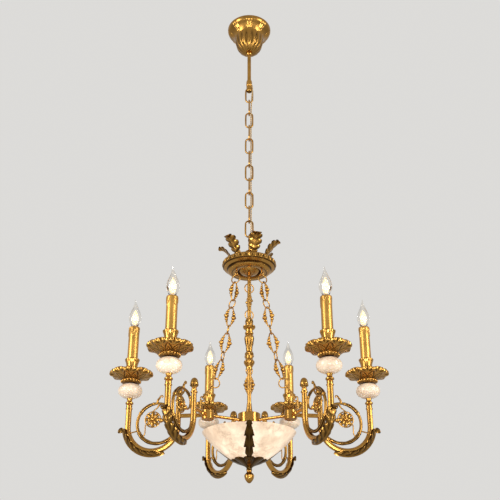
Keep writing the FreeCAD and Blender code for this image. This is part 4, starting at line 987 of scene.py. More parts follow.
class CHANDELIER_OT_scrolls(bpy.types.Operator):
    """C-scrolls with leaf husks and curled ends, openwork rosettes and tendrils."""

    bl_idname = "chandelier.scrolls"
    bl_label = "Scrolls and rosettes"

    def execute(self, context):
        centre_u, level, radius, curl = arm_reach() - 77.0, -1364.2, 52.4, 25.0
        turn = np.radians(np.linspace(-138, 120, 150))
        bow = np.stack([centre_u + radius * np.cos(turn), 0 * turn, level + radius * np.sin(turn)], 1)
        top = math.radians(120)
        inset = radius - curl
        hub = np.array([centre_u + inset * math.cos(top), 0, level + inset * math.sin(top)])
        inner_turn = np.radians(np.linspace(120, 285, 60))[1:]
        shrink = curl * (1 - 0.32 * np.linspace(0, 1, len(inner_turn)))
        inward = hub + np.stack(
            [shrink * np.cos(inner_turn), 0 * inner_turn, shrink * np.sin(inner_turn)], 1)
        path = np.vstack([bow, inward])
        s = np.linspace(0, 1, len(path))
        thick = 3.1 + 1.0 * np.exp(-((s - 0.35) / 0.25) ** 2) - 1.0 * s**4
        husk = sum(np.exp(-((s - c) / 0.032) ** 2) for c in (0.06, 0.13, 0.2, 0.27, 0.5, 0.56, 0.71))
        collar = sum(np.exp(-((s - c) / 0.006) ** 2) for c in (0.305, 0.47, 0.6, 0.75))
        husk2, collar2 = husk[:, None], collar[:, None]

        def husks(share, a):
            """Leafy husks and plain collars that swell the scroll's stem."""
            return 0.36 * husk2 * (0.75 + 0.25 * np.cos(6 * a)) + 0.34 * collar2

        bow_grid = swept(path, thick, 36, ripple=husks)
        angle = np.linspace(0, TAU, 36, endpoint=False)[None, :]
        relief = np.clip(0.55 + 0.45 * husk2 * np.cos(6 * angle) - 0.25 * husk2 + 0.3 * collar2, 0, 1)
        places = arm_places()
        build = Build().add(bow_grid, relief, places)
        build.add(bead(path[-1], 6.2, 9, 16), 0.8, places)

        flower = np.array([arm_reach() - 65.0, 0.0, -1354.0])
        ring_turn = np.linspace(0, TAU, 64, endpoint=False)
        circle = np.stack([20.2 * np.cos(ring_turn), 0 * ring_turn, 20.2 * np.sin(ring_turn)], 1)
        closed = np.vstack([circle[-1:], circle, circle[:1]])
        rim = swept(closed, 1.7, 12)[1:-1] + flower
        build.add(rim, 0.85, places, ends="ring")
        petal_run = np.linspace(4, 19.6, 20)
        petal_width = 11.5 * np.sin(math.pi * np.linspace(0.12, 0.93, 20)) ** 0.7
        for k in range(8):
            a = TAU * k / 8
            way = np.array([math.cos(a), 0, math.sin(a)])
            spine = flower + petal_run[:, None] * way
            for face in (-1, 1):
                lift = face * (1.0 + 1.5 * np.sin(math.pi * np.linspace(0, 1, 20)))
                lifted = spine + lift[:, None] * np.array([0, 1, 0])
                normal = np.tile([0.0, face, 0.0], (20, 1))
                grid, petal_relief = leaf(
                    lifted, normal, petal_width, 1.3, 3, cup=-0.2, shear=-0.2, columns=16)
                build.add(grid, petal_relief, places)
        for face in (-1, 1):
            heart = moved(bead((0, 0, 0), 5.4, 7, 16), flower + [0, 3.0 * face, 0], (1, 0, 0), (0, face, 0))
            build.add(heart, 0.9, places)

        def tendril(points, first, last, samples=36):
            """Round stem through the points, tapering from the first radius to the last."""
            line = flowing(points, samples)
            return swept(line, np.linspace(first, last, samples), 10)

        ring_top = np.array([centre_u - 2, 0, level + radius + 3])
        crook = [(4, 0, -3), (3, 0, 5), (-1, 0, 11), (-4, 0, 16), (-8, 0, 17.5), (-10, 0, 14), (-8, 0, 12)]
        build.add(tendril(ring_top + np.array(crook), 3.4, 1.2), 0.7, places)
        build.add(tendril([ring_top + [-2, 0, -6], ring_top + [2, 0, -12], ring_top + [5, 0, -16],
                           flower + [3, 0, 20]], 2.6, 1.4), 0.6, places)
        low_side = bow[int(150 * 96 / 258)]
        build.add(tendril([low_side, low_side + [-7, 0, 9], flower + [19, 0, -16],
                           flower + [14.6, 0, -13.6]], 1.7, 1.4), 0.6, places)
        post = np.array([arm_reach() - ARM_TUBE + 0.5, 0, level - 26])
        side = bow[int(150 * 114 / 258)]
        build.add(tendril([side, side + [5, 0, 1], post + [-4, 0, 3], post], 2.0, 1.6, 16), 0.6, places)
        build.write("leafy_scrolls", finish("cast"), "chandelier", ["scrolls"], "dark_brass")
        return {"FINISHED"}


class CHANDELIER_OT_acorns(bpy.types.Operator):
    """Acorn finials on the inner posts: a scaled nut in a leafy cup."""

    bl_idname = "chandelier.acorns"
    bl_label = "Acorn finials"

    def execute(self, context):
        low, high = span("acorn_finials")
        height = high[2] - low[2]
        wide = 11.5
        profile = flowing([
            (0.55, 0), (0.62, 0.1), (0.5, 0.2), (0.64, 0.27), (0.94, 0.36), (0.98, 0.42), (0.92, 0.48),
            (0.9, 0.58), (0.76, 0.78), (0.5, 0.92), (0.16, 0.985)], 66) * [wide, height]
        rise = profile[:, 1:] / height

        def scaled(share, angle):
            """Lobes round the cup and slanting scales on the nut."""
            cup = np.clip(1 - np.abs(rise - 0.38) / 0.14, 0, 1)
            nut = np.clip((rise - 0.5) * 6, 0, 1) * np.clip((0.97 - rise) * 8, 0, 1)
            scales = 0.05 * nut * np.abs(np.sin(8 * angle + 14 * rise))
            return -0.12 * cup * np.abs(np.sin(5 * angle)) - scales

        angle = np.linspace(0, TAU, 96, endpoint=False)[None, :]
        relief = np.clip(0.72 + 6 * scaled(None, angle), 0, 1)
        grid = turned(profile, 96, scaled) + [arm_reach() - POST_INSET, 0, low[2]]
        Build().add(grid, relief, arm_places()).write(
            "acorns", finish("cast"), "chandelier", ["acorn_finials"], "antique_brass")
        return {"FINISHED"}


# ------------------------------------------------------------------ candles


class CHANDELIER_OT_stone_balls(bpy.types.Operator):
    """Turned alabaster balls between collar and drip pan."""

    bl_idname = "chandelier.stone_balls"
    bl_label = "Stone balls"

    def execute(self, context):
        low, high = span("stone_balls")
        half = (high[2] - low[2]) / 2
        wide = 31.6
        turn = np.linspace(-math.pi / 2, math.pi / 2, 46)
        power = 0.92
        profile = np.stack([wide * np.abs(np.cos(turn)) ** power, half * np.sign(np.sin(turn))
                            * np.abs(np.sin(turn)) ** power], 1)[1:-1]
        bore = 5.0
        profile = profile[profile[:, 0] > bore]
        grid = turned(profile, 72) + [0, 0, (low[2] + high[2]) / 2]
        Build().add(grid, 0.5, on_candles()).write(
            "alabaster_balls", finish("stone"), "chandelier", ["stone_balls"], "alabaster")
        finish_node(["post_collars"], finish("turned"))
        return {"FINISHED"}


class CHANDELIER_OT_drip_pans(bpy.types.Operator):
    """Drip pans: a ring of pointed leaves that droop at their tips, carved with fronds and beaded."""

    bl_idname = "chandelier.drip_pans"
    bl_label = "Drip pans"

    def execute(self, context):
        petals = settings("leaves").pan_petals
        low, high = span("drip_pans")
        level, height, wide = low[2], high[2] - low[2], 59.5
        under = flowing([(21.5, 0), (25, 3.2), (23.2, 8.5), (30, 13.6), (42, 18.8), (52, 21.6), (57, 25),
                         (wide - 1.2, 29.6)], 64)
        over = flowing([(wide - 2.6, 32.4), (52.5, 29), (42, 25.8), (30, 21.4), (18, 19.2), (6, 19.1)], 40)
        inner = np.array([(4.8, 17), (4.8, 1.0), (12, 0.2)])
        profile = np.vstack([under, over, inner]) + [0, level]
        radius = profile[:, :1]
        rise = profile[:, 1:] - level
        out = np.clip((radius - 26) / (wide - 26), 0, 1)
        outer = (np.arange(len(profile)) < len(under) + 8)[:, None]

        def petal(angle):
            """1 on a petal's midrib, 0 between two petals."""
            return np.abs(np.cos(petals / 2 * angle))

        def small(angle):
            """Small lobes, five to a petal."""
            return np.abs(np.cos(petals * 2.5 * angle))

        def carving(angle):
            """Foliage: curling fronds that lean both ways from each midrib, fading at the neck and edge."""
            lean = 7.0 * out * np.sign(np.sin(petals * angle))
            fronds = np.abs(np.cos(petals * 1.5 * angle + lean)) ** 0.7
            eyes = np.exp(-((out - 0.55) / 0.13) ** 2) * np.abs(np.sin(petals / 2 * angle)) ** 6
            return np.clip(6 * out, 0, 1) * np.clip(7 * (1.02 - out), 0, 1) * (fronds + 1.2 * eyes - 0.5)

        def scallops(share, angle):
            """Petals cut into the edge and flutes round the neck."""
            edge = out**2 * (-0.10 * (1 - petal(angle)) ** 1.2 - 0.03 * (1 - small(angle)))
            neck = np.exp(-((rise - 3) / 3) ** 2) * outer * -0.06 * (1 - np.abs(np.cos(12 * angle)))
            return edge + neck

        def droop(share, angle):
            """Petal tips drawn down, with the carving raised on the underside."""
            return out**2.2 * (1.6 - 4.4 * petal(angle)**3) - 1.5 * outer * carving(angle)

        angle = np.linspace(0, TAU, 240, endpoint=False)[None, :]
        grid = turned(profile, 240, scallops, droop)
        grid[..., 2] = np.clip(grid[..., 2], level, level + height)
        lobe = petal(angle)
        # The outer edge of the pan is lifted to the bright colour: a painted highlight on the rim.
        relief = np.clip(0.38 + 0.75 * carving(angle) + 0.25 * np.exp(-((1 - lobe) / 0.06))
                         + 0.35 * np.clip(out - 0.85, 0, 1) * 6, 0, 1)
        build = Build().add(grid, relief, on_candles(), ends="ring")
        for k in range(20):
            c, n = math.cos(TAU * k / 20), math.sin(TAU * k / 20)
            build.add(bead((24.6 * c, 24.6 * n, level + 5.4), 3.0, 5, 8), 0.8, on_candles())
        build.write("leafy_drip_pans", finish("cast"), "chandelier", ["drip_pans"], "dark_brass")
        return {"FINISHED"}


class CHANDELIER_OT_candle_cups(bpy.types.Operator):
    """Petalled cups that hold the candle sleeves, the sleeves and the lamp holders."""

    bl_idname = "chandelier.candle_cups"
    bl_label = "Candle cups and sleeves"

    def execute(self, context):
        low, high = span("candle_cups")
        height, wide = high[2] - low[2], 20.0
        outside = flowing([(0.7, 0), (0.75, 0.18), (0.66, 0.36), (0.72, 0.54), (0.84, 0.76),
                           (0.985, 0.93), (0.94, 0.985), (0.8, 0.985)], 60) * [wide, height]
        inside = np.array([(0.74, 0.97), (0.6, 0.8), (0.24, 0.78), (0.24, 0.02), (0.5, 0.005)])
        inside = inside * [wide, height]
        profile = np.vstack([outside, inside])
        rise = profile[:, 1:] / height
        outer = (np.arange(len(profile)) < len(outside))[:, None]

        def petals(share, angle):
            """Petals on the flare and gadroons round the foot."""
            flare = np.clip((rise - 0.5) * 2.2, 0, 1) * outer
            foot = np.exp(-((rise - 0.16) / 0.1) ** 2) * outer
            gadroons = 0.09 * foot * np.abs(np.sin(8 * angle))
            return -0.05 * flare * (1 - np.abs(np.cos(5 * angle))) ** 1.2 - gadroons

        angle = np.linspace(0, TAU, 96, endpoint=False)[None, :]
        relief = np.clip(0.75 + 7 * petals(None, angle), 0, 1)
        Build().add(turned(profile, 96, petals) + [0, 0, low[2]], relief, on_candles(), ends="ring").write(
            "petal_cups", finish("cast"), "chandelier", ["candle_cups"], "antique_brass")
        low, high = span("candle_sleeves")
        tall = high[2] - low[2]
        waxed = [(14.2, tall - below) for below in range(42, 6, -6)]
        wall = [(14.0, 0), (14.2, 1), (14.15, 40), *waxed, (14.1, tall - 4), (13.4, tall - 0.8),
                (12.9, tall), (12.62, tall - 1), (12.62, 1), (12.8, 0)]
        dense = straight_steps(wall, 7)

        def wax(share, angle):
            """Wax that has run down from the top: a skin over each drip's height, rounded below."""
            level = dense[:, 1:]
            run = 15 + 8 * np.cos(5 * angle) + 6 * np.cos(3 * angle + 1.0) + 4 * np.cos(8 * angle + 2.0)
            skin = np.clip((level - (tall - run)) / 2.2, 0, 1) ** 0.5 * np.clip((tall - level) / 1.5, 0, 1)
            return 0.085 * skin * (dense[:, :1] > 13.3)

        Build().add(turned(dense, 64, wax) + [0, 0, low[2]], 0.6, on_candles(), ends="ring").write(
            "candle_tubes", finish("satin"), "chandelier", ["candle_sleeves"], "satin_gold")
        finish_node(["lamp_holders", "bowl_lamp_holders"], finish("porcelain"))
        return {"FINISHED"}


class CHANDELIER_OT_bulbs(bpy.types.Operator):
    """Flame bulbs: a glass drawn to a bent tip, a lit core and a threaded cap."""

    bl_idname = "chandelier.bulbs"
    bl_label = "Flame bulbs"

    def execute(self, context):
        outer = flowing([(6.4, 24), (6.9, 27.5), (10.2, 33), (14.4, 40), (17.0, 48), (17.3, 54),
                         (16.0, 62), (12.6, 72), (8.6, 82), (5.2, 91), (2.9, 99), (1.6, 105),
                         (0.7, 109.5)], 84)
        tail = np.clip((outer[:, 1:] - 84) / 26, 0, 1)
        core = flowing([(1.4, 34), (3.6, 37), (5.2, 44), (5.4, 52), (4.2, 61), (2.0, 69), (0.6, 74)], 40)
        heat = np.clip(1 - np.abs(core[:, 1:] - 52) / 26, 0, 1)
        thread = np.linspace(2.6, 24.5, 90)
        cap_radius = 6.45 + 0.35 * np.cos(TAU * thread / 2.8)
        cap = np.stack([cap_radius, thread], 1)
        contact = np.array([(2.4, 0.05), (3.3, 0.6), (5.2, 2.0)])
        for i, (x, y) in enumerate(candle_axes(), start=1):
            node, body = f"candle_bulb_{i}", f"bulb_{i}"
            base = span(node)[0][2]
            seat = np.array([x, y, base])
            bend = np.array([math.cos(0.9 * i), math.sin(0.9 * i), 0]) * 2.6
            bend = bend * [1, 0.4, 1] + [-1.2, 0, 0]
            glass = turned(outer, 48) + tail[..., None] ** 1.7 * bend + seat
            Build().add(glass).write(f"bulb_glass_{i}", finish("glass"), body, [node], "lamp_glass")
            Build().add(turned(core, 28) + seat, heat * np.ones((1, 28))).write(
                f"bulb_core_{i}", finish("core"), body, slot="lamp_glass")
            Build().add(turned(np.vstack([contact, cap]), 28) + seat).write(
                f"bulb_cap_{i}", finish("turned"), body, slot="antique_brass")
        low, top = (corner[2] for corner in span("bowl_lamps"))
        places = about_axis(STRAP_AZIMUTHS, 18.0)
        pin = flowing([(1.2, 0.2), (4.6, 1.6), (6.6, 6), (6.9, 12), (6.9, 36),
                       (6.9, top - low - 0.2)], 40) + [0, low]
        heat = np.clip(1.15 - (pin[:, 1:] - low) / 40, 0, 1)
        Build().add(turned(pin, 32), heat * np.ones((1, 32)), places).write(
            "pin_lamps", finish("pin core"), "pin_lamps", ["bowl_lamps"], "lamp_glass")
        return {"FINISHED"}


# ------------------------------------------------------------------ drape chains and bowl


WIRE, RING, EYE, DRAPE_PITCH, JOINT_GAP = 1.6, 13.5, 5.5, 80.5, 0.3
ELEMENT_ROLLS = {
    "right": (60, -15, 80, 5, 110, 30, 130, 60, 0, 85),
    "left": (-60, 15, -80, -5, -110, -30, -130, -60, 0, -85),
    "back": (110, 20, 120, 30, 125, 40, 140, 65, 0, 90),
}


def drape_stops():
    """Eyelet, five ring centres and lower eyelet of a drape chain in its own plane."""
    nested = RING - 2 * WIRE - JOINT_GAP
    stops = [np.array([44.0, 0, -941.0])]
    for lean in np.radians((8, 8.5, 11, 15.5)):
        stops.append(stops[-1] + DRAPE_PITCH * np.array([math.sin(lean), 0, -math.cos(lean)]))
    lean = math.radians(7)
    top = stops[0] + (nested + EYE) * np.array([-math.sin(lean), 0, math.cos(lean)])
    return [top, *stops, np.array([140.0, 0, -1305.0])]


def loop_grid(line, wire, columns=12):
    """Closed wire in the XZ plane along a line whose last point is not its first."""
    wire = np.broadcast_to(wire, len(line))
    line = np.vstack([line[-1:], line, line[:1]])
    return swept(line, np.concatenate([wire[-1:], wire, wire[:1]]), columns)[1:-1]


def link_wire():
    """Wire radius along a link's outline: thin in the eyes, thicker along the sides."""
    side = 0.9 * np.sqrt(1 - np.linspace(1, -1, 26)[1:-1] ** 2)
    return WIRE + np.concatenate([np.zeros(17), side, np.zeros(17), side])


def link_line(half_length, half_width):
    """Closed outline of a link: round ends joined by sides that bow out to the half width."""
    straight = half_length - EYE
    turn = np.linspace(0, math.pi, 17)
    end = np.stack([EYE * np.cos(turn), 0 * turn, straight + EYE * np.sin(turn)], 1)
    down = np.linspace(1, -1, 26)[1:-1]
    bow = EYE + (half_width - EYE) * (1 - down**2) ** 1.2
    side = np.stack([-bow, 0 * down, straight * down], 1)
    return np.vstack([end, side, -end, -side])


class CHANDELIER_OT_drape_chains(bpy.types.Operator):
    """Three drape chains of rings and beaded openwork links."""

    bl_idname = "chandelier.drape_chains"
    bl_label = "Drape chains"

    def execute(self, context):
        stops = drape_stops()
        nested, held = RING - 2 * WIRE - JOINT_GAP, EYE - 2 * WIRE - JOINT_GAP
        half = DRAPE_PITCH / 2 - nested
        turn = np.linspace(0, TAU, 48, endpoint=False)
        ring = loop_grid(np.stack([RING * np.cos(turn), 0 * turn, RING * np.sin(turn)], 1), WIRE + 0.1)
        openwork = [loop_grid(link_line(half, 10.5), link_wire())]
        for side in (-1, 1):
            openwork.append(bead((side * 10.8, 0, 0), 6.6, 9, 16))
            for up in (-1, 1):
                openwork.append(bead((side * 9.8, 0, up * 9.8), 4.9, 7, 12))
                openwork.append(bead((side * 7.8, 0, up * 16.6), 3.6, 7, 12))
                openwork.append(bead((side * 10.8, up * 5.2, 0), 2.9, 7, 10))
            openwork.append(bead((side * 16.2, 0, 0), 2.4, 7, 10))
        last_run = np.linalg.norm(stops[-2] - stops[-1])
        plain = [loop_grid(link_line((last_run - nested - held) / 2, EYE), WIRE)]
        for name, azimuth in zip(("back", "left", "right"), BOSS_AZIMUTHS):
            build = Build()
            (out, _), = about_axis([azimuth])

            def hang(parts, upper, lower, roll, base):
                """Adds an element at its base, in line with two stops and rolled about that line."""
                up = (upper - lower) / np.linalg.norm(upper - lower)
                flat = np.array([up[2], 0, -up[0]])
                c, n = math.cos(math.radians(roll)), math.sin(math.radians(roll))
                for part in parts:
                    build.add(moved(part, base, c * flat + n * np.cross(up, flat), up) @ out, 0.75, ends=(
                        "ring" if len(part) > 20 else "caps"))

            rolls = ELEMENT_ROLLS[name]
            for i in range(1, 6):
                hang([ring], stops[i - 1], stops[i + 1], rolls[2 * i - 2], stops[i])
                centre = (stops[i] + stops[i + 1]) / 2
                if i == 5:
                    centre = centre + (stops[i + 1] - stops[i]) * (nested - held) / 2 / last_run
                hang(openwork if i < 5 else plain, stops[i], stops[i + 1], rolls[2 * i - 1], centre)
            build.write(f"beaded_chain_{name}", finish("turned"), f"drape_{name}", [f"drape_chain_{name}"],
                        "antique_brass")
        return {"FINISHED"}


def bowl_shape():
    """Radius and centre height of the bowl's outside, from its rim, its depth and its round form."""
    low, high = span("alabaster_bowl")
    rim, depth, hole = (high[0] - low[0]) / 2, high[2] - low[2], 6.0
    radius = (rim**2 + depth**2) / (2 * depth)
    for _ in range(8):
        radius = (rim**2 + (depth + radius - math.sqrt(radius**2 - hole**2)) ** 2) / (
            2 * (depth + radius - math.sqrt(radius**2 - hole**2)))
    return radius, high[2] + math.sqrt(radius**2 - rim**2), rim


def bowl_rise(distance, radius, centre, rim, skin=0.0):
    """Height of the bowl's face at a distance from the axis: its round form, drawn halfway to the
    straight line between the cup's edge and the rim; skin moves the face outwards."""
    cup = radius_of("bowl_cup")

    def dome(d):
        """Height of the round form."""
        return centre - np.sqrt((radius + skin) ** 2 - np.minimum(d, rim + skin) ** 2)

    straight = dome(cup) + (dome(rim) - dome(cup)) * (distance - cup) / (rim - cup)
    return dome(distance) + 0.5 * np.maximum(0, straight - dome(distance)) * (distance > cup)


class CHANDELIER_OT_bowl(bpy.types.Operator):
    """Alabaster bowl, lit from within, brighter towards its lamps."""

    bl_idname = "chandelier.bowl"
    bl_label = "Alabaster bowl"

    def execute(self, context):
        radius, centre, rim = bowl_shape()
        wall, hole = 8.0, 6.0
        out = np.linspace(math.asin(hole / radius), math.asin((rim - 0.4) / radius), 80)
        shape = radius, centre, rim
        outside = np.stack([radius * np.sin(out), bowl_rise(radius * np.sin(out), *shape)], 1)
        inner = radius - wall
        level = outside[-1, 1]
        reach = math.acos((centre - level) / inner)
        back = np.linspace(reach, math.asin(hole / inner), 70)
        flattened = bowl_rise(radius * np.sin(back), *shape) - centre + radius * np.cos(back)
        inside = np.stack([inner * np.sin(back), centre - inner * np.cos(back) + flattened], 1)
        inside = inside[inside[:, 1] < level - 0.8]
        lip_turn = np.linspace(0, math.pi, 9)[1:-1]
        lip_mid = (outside[-1, 0] + inside[0, 0]) / 2
        lip_half = (outside[-1, 0] - inside[0, 0]) / 2
        crisp = 0.35
        lip = np.stack([lip_mid + lip_half * np.sign(np.cos(lip_turn)) * np.abs(np.cos(lip_turn)) ** crisp,
                        level - 0.6 + 1.2 * np.sin(lip_turn) ** crisp], 1)
        profile = np.vstack([outside, lip, inside])
        grid = turned(profile, 180)
        lamp = np.array([0.0, 0.0, span("bowl_lamps")[0][2] + 16])
        away = np.linalg.norm(grid - lamp, axis=2)
        glow = np.clip((58.0 / np.maximum(away, 30)) ** 1.5, 0, 1.2)
        Build().add(grid, glow, ends="ring").write(
            "bowl_stone", finish("lit stone"), "bowl", ["alabaster_bowl"], "alabaster")
        return {"FINISHED"}


class CHANDELIER_OT_bowl_metal(bpy.types.Operator):
    """Leaf straps over the bowl, the petalled cup under it and the bud finial."""

    bl_idname = "chandelier.bowl_metal"
    bl_label = "Bowl straps, cup and finial"

    def execute(self, context):
        radius, centre, rim = bowl_shape()
        skin = radius + 0.4
        start, end = math.asin(43.0 / skin), math.asin(min(1, (rim + 0.2) / skin))
        turn = np.linspace(start, end, 90)
        distance = skin * np.sin(turn)
        down = np.stack([distance, 0 * turn, bowl_rise(distance, radius, centre, rim, 0.4)], 1)
        hook_top = span("bowl_straps")[1][2] - 1.4
        hook = flowing([down[-1] + [0.9, 0, 1.4], (rim - 0.5, 0, hook_top - 0.2), (rim - 6.5, 0, hook_top),
                        (rim - 11.6, 0, hook_top - 2.4), (rim - 12.4, 0, hook_top - 6.4)], 22)
        spine = np.vstack([down, hook])
        along = np.gradient(spine, axis=0)
        normal = np.stack([along[:, 2], 0 * along[:, 0], -along[:, 0]], 1)
        normal /= np.linalg.norm(normal, axis=1, keepdims=True)
        s = np.linspace(0, 1, len(spine))
        width = np.interp(s, [0, 0.05, 0.12, 0.3, 0.6, 0.84, 0.9, 1.0], [9, 14, 26, 27.5, 25, 13, 8, 6])
        grid, relief = leaf(
            spine, normal, width, 2.4, 4, cup=-0.03, shear=0.32, vein=1.0, columns=40, tier=0.36)
        Build().add(grid, relief, about_axis(STRAP_AZIMUTHS)).write(
            "leaf_straps", finish("bronze"), "bowl", ["bowl_straps"], "dark_brass")

        low, high = span("bowl_cup")
        edge = (high[0] - low[0]) / 2
        level = low[2]
        under = flowing([(7.6, 0.2), (7.0, 3.2), (9.4, 7), (17, 11.3), (29, 16.2), (40, 20.6),
                         (edge - 0.3, 24.4)], 60)
        seat = radius + 0.25
        seat_turn = np.linspace(math.asin((edge - 1.2) / seat), math.asin(5.2 / seat), 40)
        over = np.stack([seat * np.sin(seat_turn), centre - seat * np.cos(seat_turn) - level], 1)
        profile = np.vstack([under, over, [(4.2, over[-1, 1])], [(4.2, 0.2)]])
        outer = (np.arange(len(profile)) < len(under))[:, None]
        out = np.clip((profile[:, :1] - 10) / (edge - 10), 0, 1)

        def petals(share, angle):
            """Eight petals cut into the edge."""
            return -0.2 * out**2 * (1 - np.abs(np.cos(4 * angle))) ** 1.6 * (profile[:, :1] > 6)

        def swell(share, angle):
            """Petals full along their middles, with fine ribs."""
            fullness = 1.6 * (np.abs(np.cos(4 * angle)) - 0.6)
            return -out * outer * (fullness + 0.7 * np.abs(np.sin(20 * angle)))

        angle = np.linspace(0, TAU, 200, endpoint=False)[None, :]
        relief = np.clip(
            0.35 + 0.5 * np.abs(np.cos(4 * angle)) - 0.3 * np.abs(np.sin(20 * angle)) * out, 0, 1)
        grid = turned(profile, 200, petals, swell) + [0, 0, level]
        grid[..., 2] = np.maximum(grid[..., 2], level)
        Build().add(grid, relief, ends="ring").write(
            "petal_cup", finish("bronze"), "bowl", ["bowl_cup"], "dark_brass")

        low, high = span("bottom_finial")
        tall, wide = high[2] - low[2], radius_of("bottom_finial")
        profile = flowing([
            (0.05, 0.003), (0.3, 0.04), (0.62, 0.17), (0.88, 0.34), (0.97, 0.5), (0.985, 0.58), (0.8, 0.7),
            (0.56, 0.8), (0.47, 0.86), (0.56, 0.92), (0.5, 0.995)], 70) * [wide, tall]
        rise = profile[:, 1:] / tall

        def bud(share, angle):
            """Six leaves that close round the bud."""
            leafy = np.clip(1 - np.abs(rise - 0.55) / 0.26, 0, 1)
            return -0.13 * leafy * (1 - np.abs(np.cos(3 * angle + 0.6))) ** 1.3

        angle = np.linspace(0, TAU, 96, endpoint=False)[None, :]
        relief = np.clip(0.8 + 5 * bud(None, angle) - 0.5 * np.clip(0.35 - rise, 0, 1) * 2, 0, 1)
        Build().add(turned(profile, 96, bud) + [0, 0, low[2]], relief).write(
            "bud_finial", finish("cast"), "finial", ["bottom_finial"], "antique_brass")
        return {"FINISHED"}


# ------------------------------------------------------------------ studio


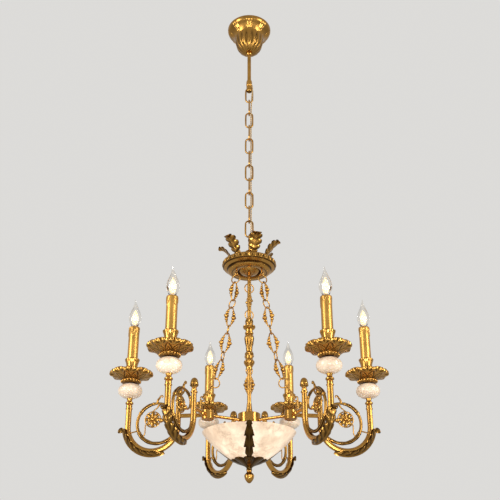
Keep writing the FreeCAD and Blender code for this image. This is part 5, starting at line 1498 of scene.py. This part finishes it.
class CHANDELIER_OT_studio(bpy.types.Operator):
    """Pale floor, even world light, three softboxes and the camera of the photograph."""

    bl_idname = "chandelier.studio"
    bl_label = "Studio"

    def execute(self, context):
        studio = settings("studio")
        scene = context.scene
        scene.view_settings.view_transform = "Standard"
        half = 20.0
        mesh = bpy.data.meshes.new("floor")
        level = studio.floor_level
        corners = [(x * half, y * half, level) for x, y in ((-1, -1), (1, -1), (1, 1), (-1, 1))]
        mesh.from_pydata(corners, [], [(0, 1, 2, 3)])
        n = Nodes("pale floor")
        shade = n.ramp(n.noise(1.5, 2), (0.3, tuple(0.97 * c for c in studio.pale)), (0.7, studio.pale))
        lit = n.shader(Base_Color=shade, Roughness=0.8)
        even = n.new("ShaderNodeEmission")
        n.feed(even.inputs["Color"], shade)
        even.inputs["Strength"].default_value = 0.9
        path = n.new("ShaderNodeLightPath")
        seen = n.math("MAXIMUM", path.outputs["Is Camera Ray"], path.outputs["Is Glossy Ray"])
        seen = n.math("MAXIMUM", seen, path.outputs["Is Transmission Ray"])
        blend = n.new("ShaderNodeMixShader")
        n.feed(blend.inputs["Fac"], n.math("MULTIPLY", seen, 0.75))
        n.join(lit.outputs["BSDF"], blend.inputs[1])
        n.join(even.outputs["Emission"], blend.inputs[2])
        n.join(blend.outputs["Shader"], n.output.inputs["Surface"])
        mesh.materials.append(n.material)
        floor = bpy.data.objects.new("floor", mesh)
        scene.collection.objects.link(floor)

        world = bpy.data.worlds.new("studio")
        scene.world = world
        world.use_nodes = True
        tree = world.node_tree
        tree.nodes.clear()
        output = tree.nodes.new("ShaderNodeOutputWorld")
        light = tree.nodes.new("ShaderNodeBackground")
        light.inputs["Color"].default_value = (*studio.pale, 1)
        light.inputs["Strength"].default_value = studio.world_level
        backdrop = tree.nodes.new("ShaderNodeBackground")
        backdrop.inputs["Color"].default_value = (*studio.pale, 1)
        backdrop.inputs["Strength"].default_value = 0.9
        path = tree.nodes.new("ShaderNodeLightPath")
        seen = tree.nodes.new("ShaderNodeMath")
        seen.operation = "MAXIMUM"
        clear = tree.nodes.new("ShaderNodeMath")
        clear.operation = "MAXIMUM"
        tree.links.new(path.outputs["Is Camera Ray"], clear.inputs[0])
        tree.links.new(path.outputs["Is Transmission Ray"], clear.inputs[1])
        tree.links.new(clear.outputs[0], seen.inputs[0])
        tree.links.new(path.outputs["Is Glossy Ray"], seen.inputs[1])
        mix = tree.nodes.new("ShaderNodeMixShader")
        tree.links.new(seen.outputs[0], mix.inputs["Fac"])
        tree.links.new(light.outputs[0], mix.inputs[1])
        tree.links.new(backdrop.outputs[0], mix.inputs[2])
        tree.links.new(mix.outputs[0], output.inputs["Surface"])

        for name, place, aim, size in (
                ("softbox_left", (-2.3, -1.6, -0.9), (0, 0, -1.2), (0.7, 2.0)),
                ("softbox_right", (2.3, -1.6, -0.9), (0, 0, -1.2), (0.7, 2.0)),
                ("softbox_front", (0, -3.0, -2.3), (0, 0, -1.1), (1.6, 0.5))):
            lamp = bpy.data.lights.new(name, "AREA")
            lamp.shape = "RECTANGLE"
            lamp.size, lamp.size_y = size
            lamp.energy = studio.softbox_power
            holder = bpy.data.objects.new(name, lamp)
            holder.location = place
            holder.rotation_euler = (Vector(aim) - Vector(place)).to_track_quat("-Z", "Y").to_euler()
            scene.collection.objects.link(holder)

        camera = bpy.data.cameras.new("camera")
        camera.lens, camera.sensor_width = studio.lens, 36.0
        camera.shift_x, camera.shift_y = 0.0016, 0.06
        camera.clip_start, camera.clip_end = 0.05, 50.0
        holder = bpy.data.objects.new("camera", camera)
        holder.location = (0, -studio.camera_back, studio.camera_level)
        holder.rotation_euler = (math.pi / 2 + studio.camera_pitch, 0, 0)
        scene.collection.objects.link(holder)
        scene.camera = holder
        return {"FINISHED"}


OPERATORS = (
    CHANDELIER_OT_studio, CHANDELIER_OT_ceiling_end, CHANDELIER_OT_chain, CHANDELIER_OT_supply_cord,
    CHANDELIER_OT_crown, CHANDELIER_OT_crown_leaves, CHANDELIER_OT_column, CHANDELIER_OT_arms,
    CHANDELIER_OT_leaf_sheaths, CHANDELIER_OT_scrolls, CHANDELIER_OT_acorns, CHANDELIER_OT_stone_balls,
    CHANDELIER_OT_drip_pans, CHANDELIER_OT_candle_cups, CHANDELIER_OT_bulbs, CHANDELIER_OT_drape_chains,
    CHANDELIER_OT_bowl, CHANDELIER_OT_bowl_metal,
)


class CHANDELIER_PT_panel(bpy.types.Panel):
    """Lists the chandelier's settings and its pieces."""

    bl_idname = "CHANDELIER_PT_panel"
    bl_label = "Chandelier"
    bl_space_type = "VIEW_3D"
    bl_region_type = "UI"
    bl_category = "Chandelier"

    def draw(self, context):
        for name, group in GROUPS:
            box = self.layout.box()
            box.label(text=name.capitalize())
            for key in group.__annotations__:
                box.prop(settings(name), key)
        for operator in OPERATORS:
            self.layout.operator(operator.bl_idname)


def register():
    """Registers the settings, the operators and the panel."""
    for name, group in GROUPS:
        bpy.utils.register_class(group)
        setattr(bpy.types.Scene, f"chandelier_{name}", bpy.props.PointerProperty(type=group))
    for operator in OPERATORS:
        bpy.utils.register_class(operator)
    bpy.utils.register_class(CHANDELIER_PT_panel)


def unregister():
    """Takes them away again, in the opposite order."""
    bpy.utils.unregister_class(CHANDELIER_PT_panel)
    for operator in reversed(OPERATORS):
        bpy.utils.unregister_class(operator)
    for name, group in reversed(GROUPS):
        delattr(bpy.types.Scene, f"chandelier_{name}")
        bpy.utils.unregister_class(group)


def main():
    """Runs every operator."""
    register()
    for operator in OPERATORS:
        space, call = operator.bl_idname.split(".")
        getattr(getattr(bpy.ops, space), call)()
    bpy.context.view_layer.update()


if __name__ == "__main__":
    main()
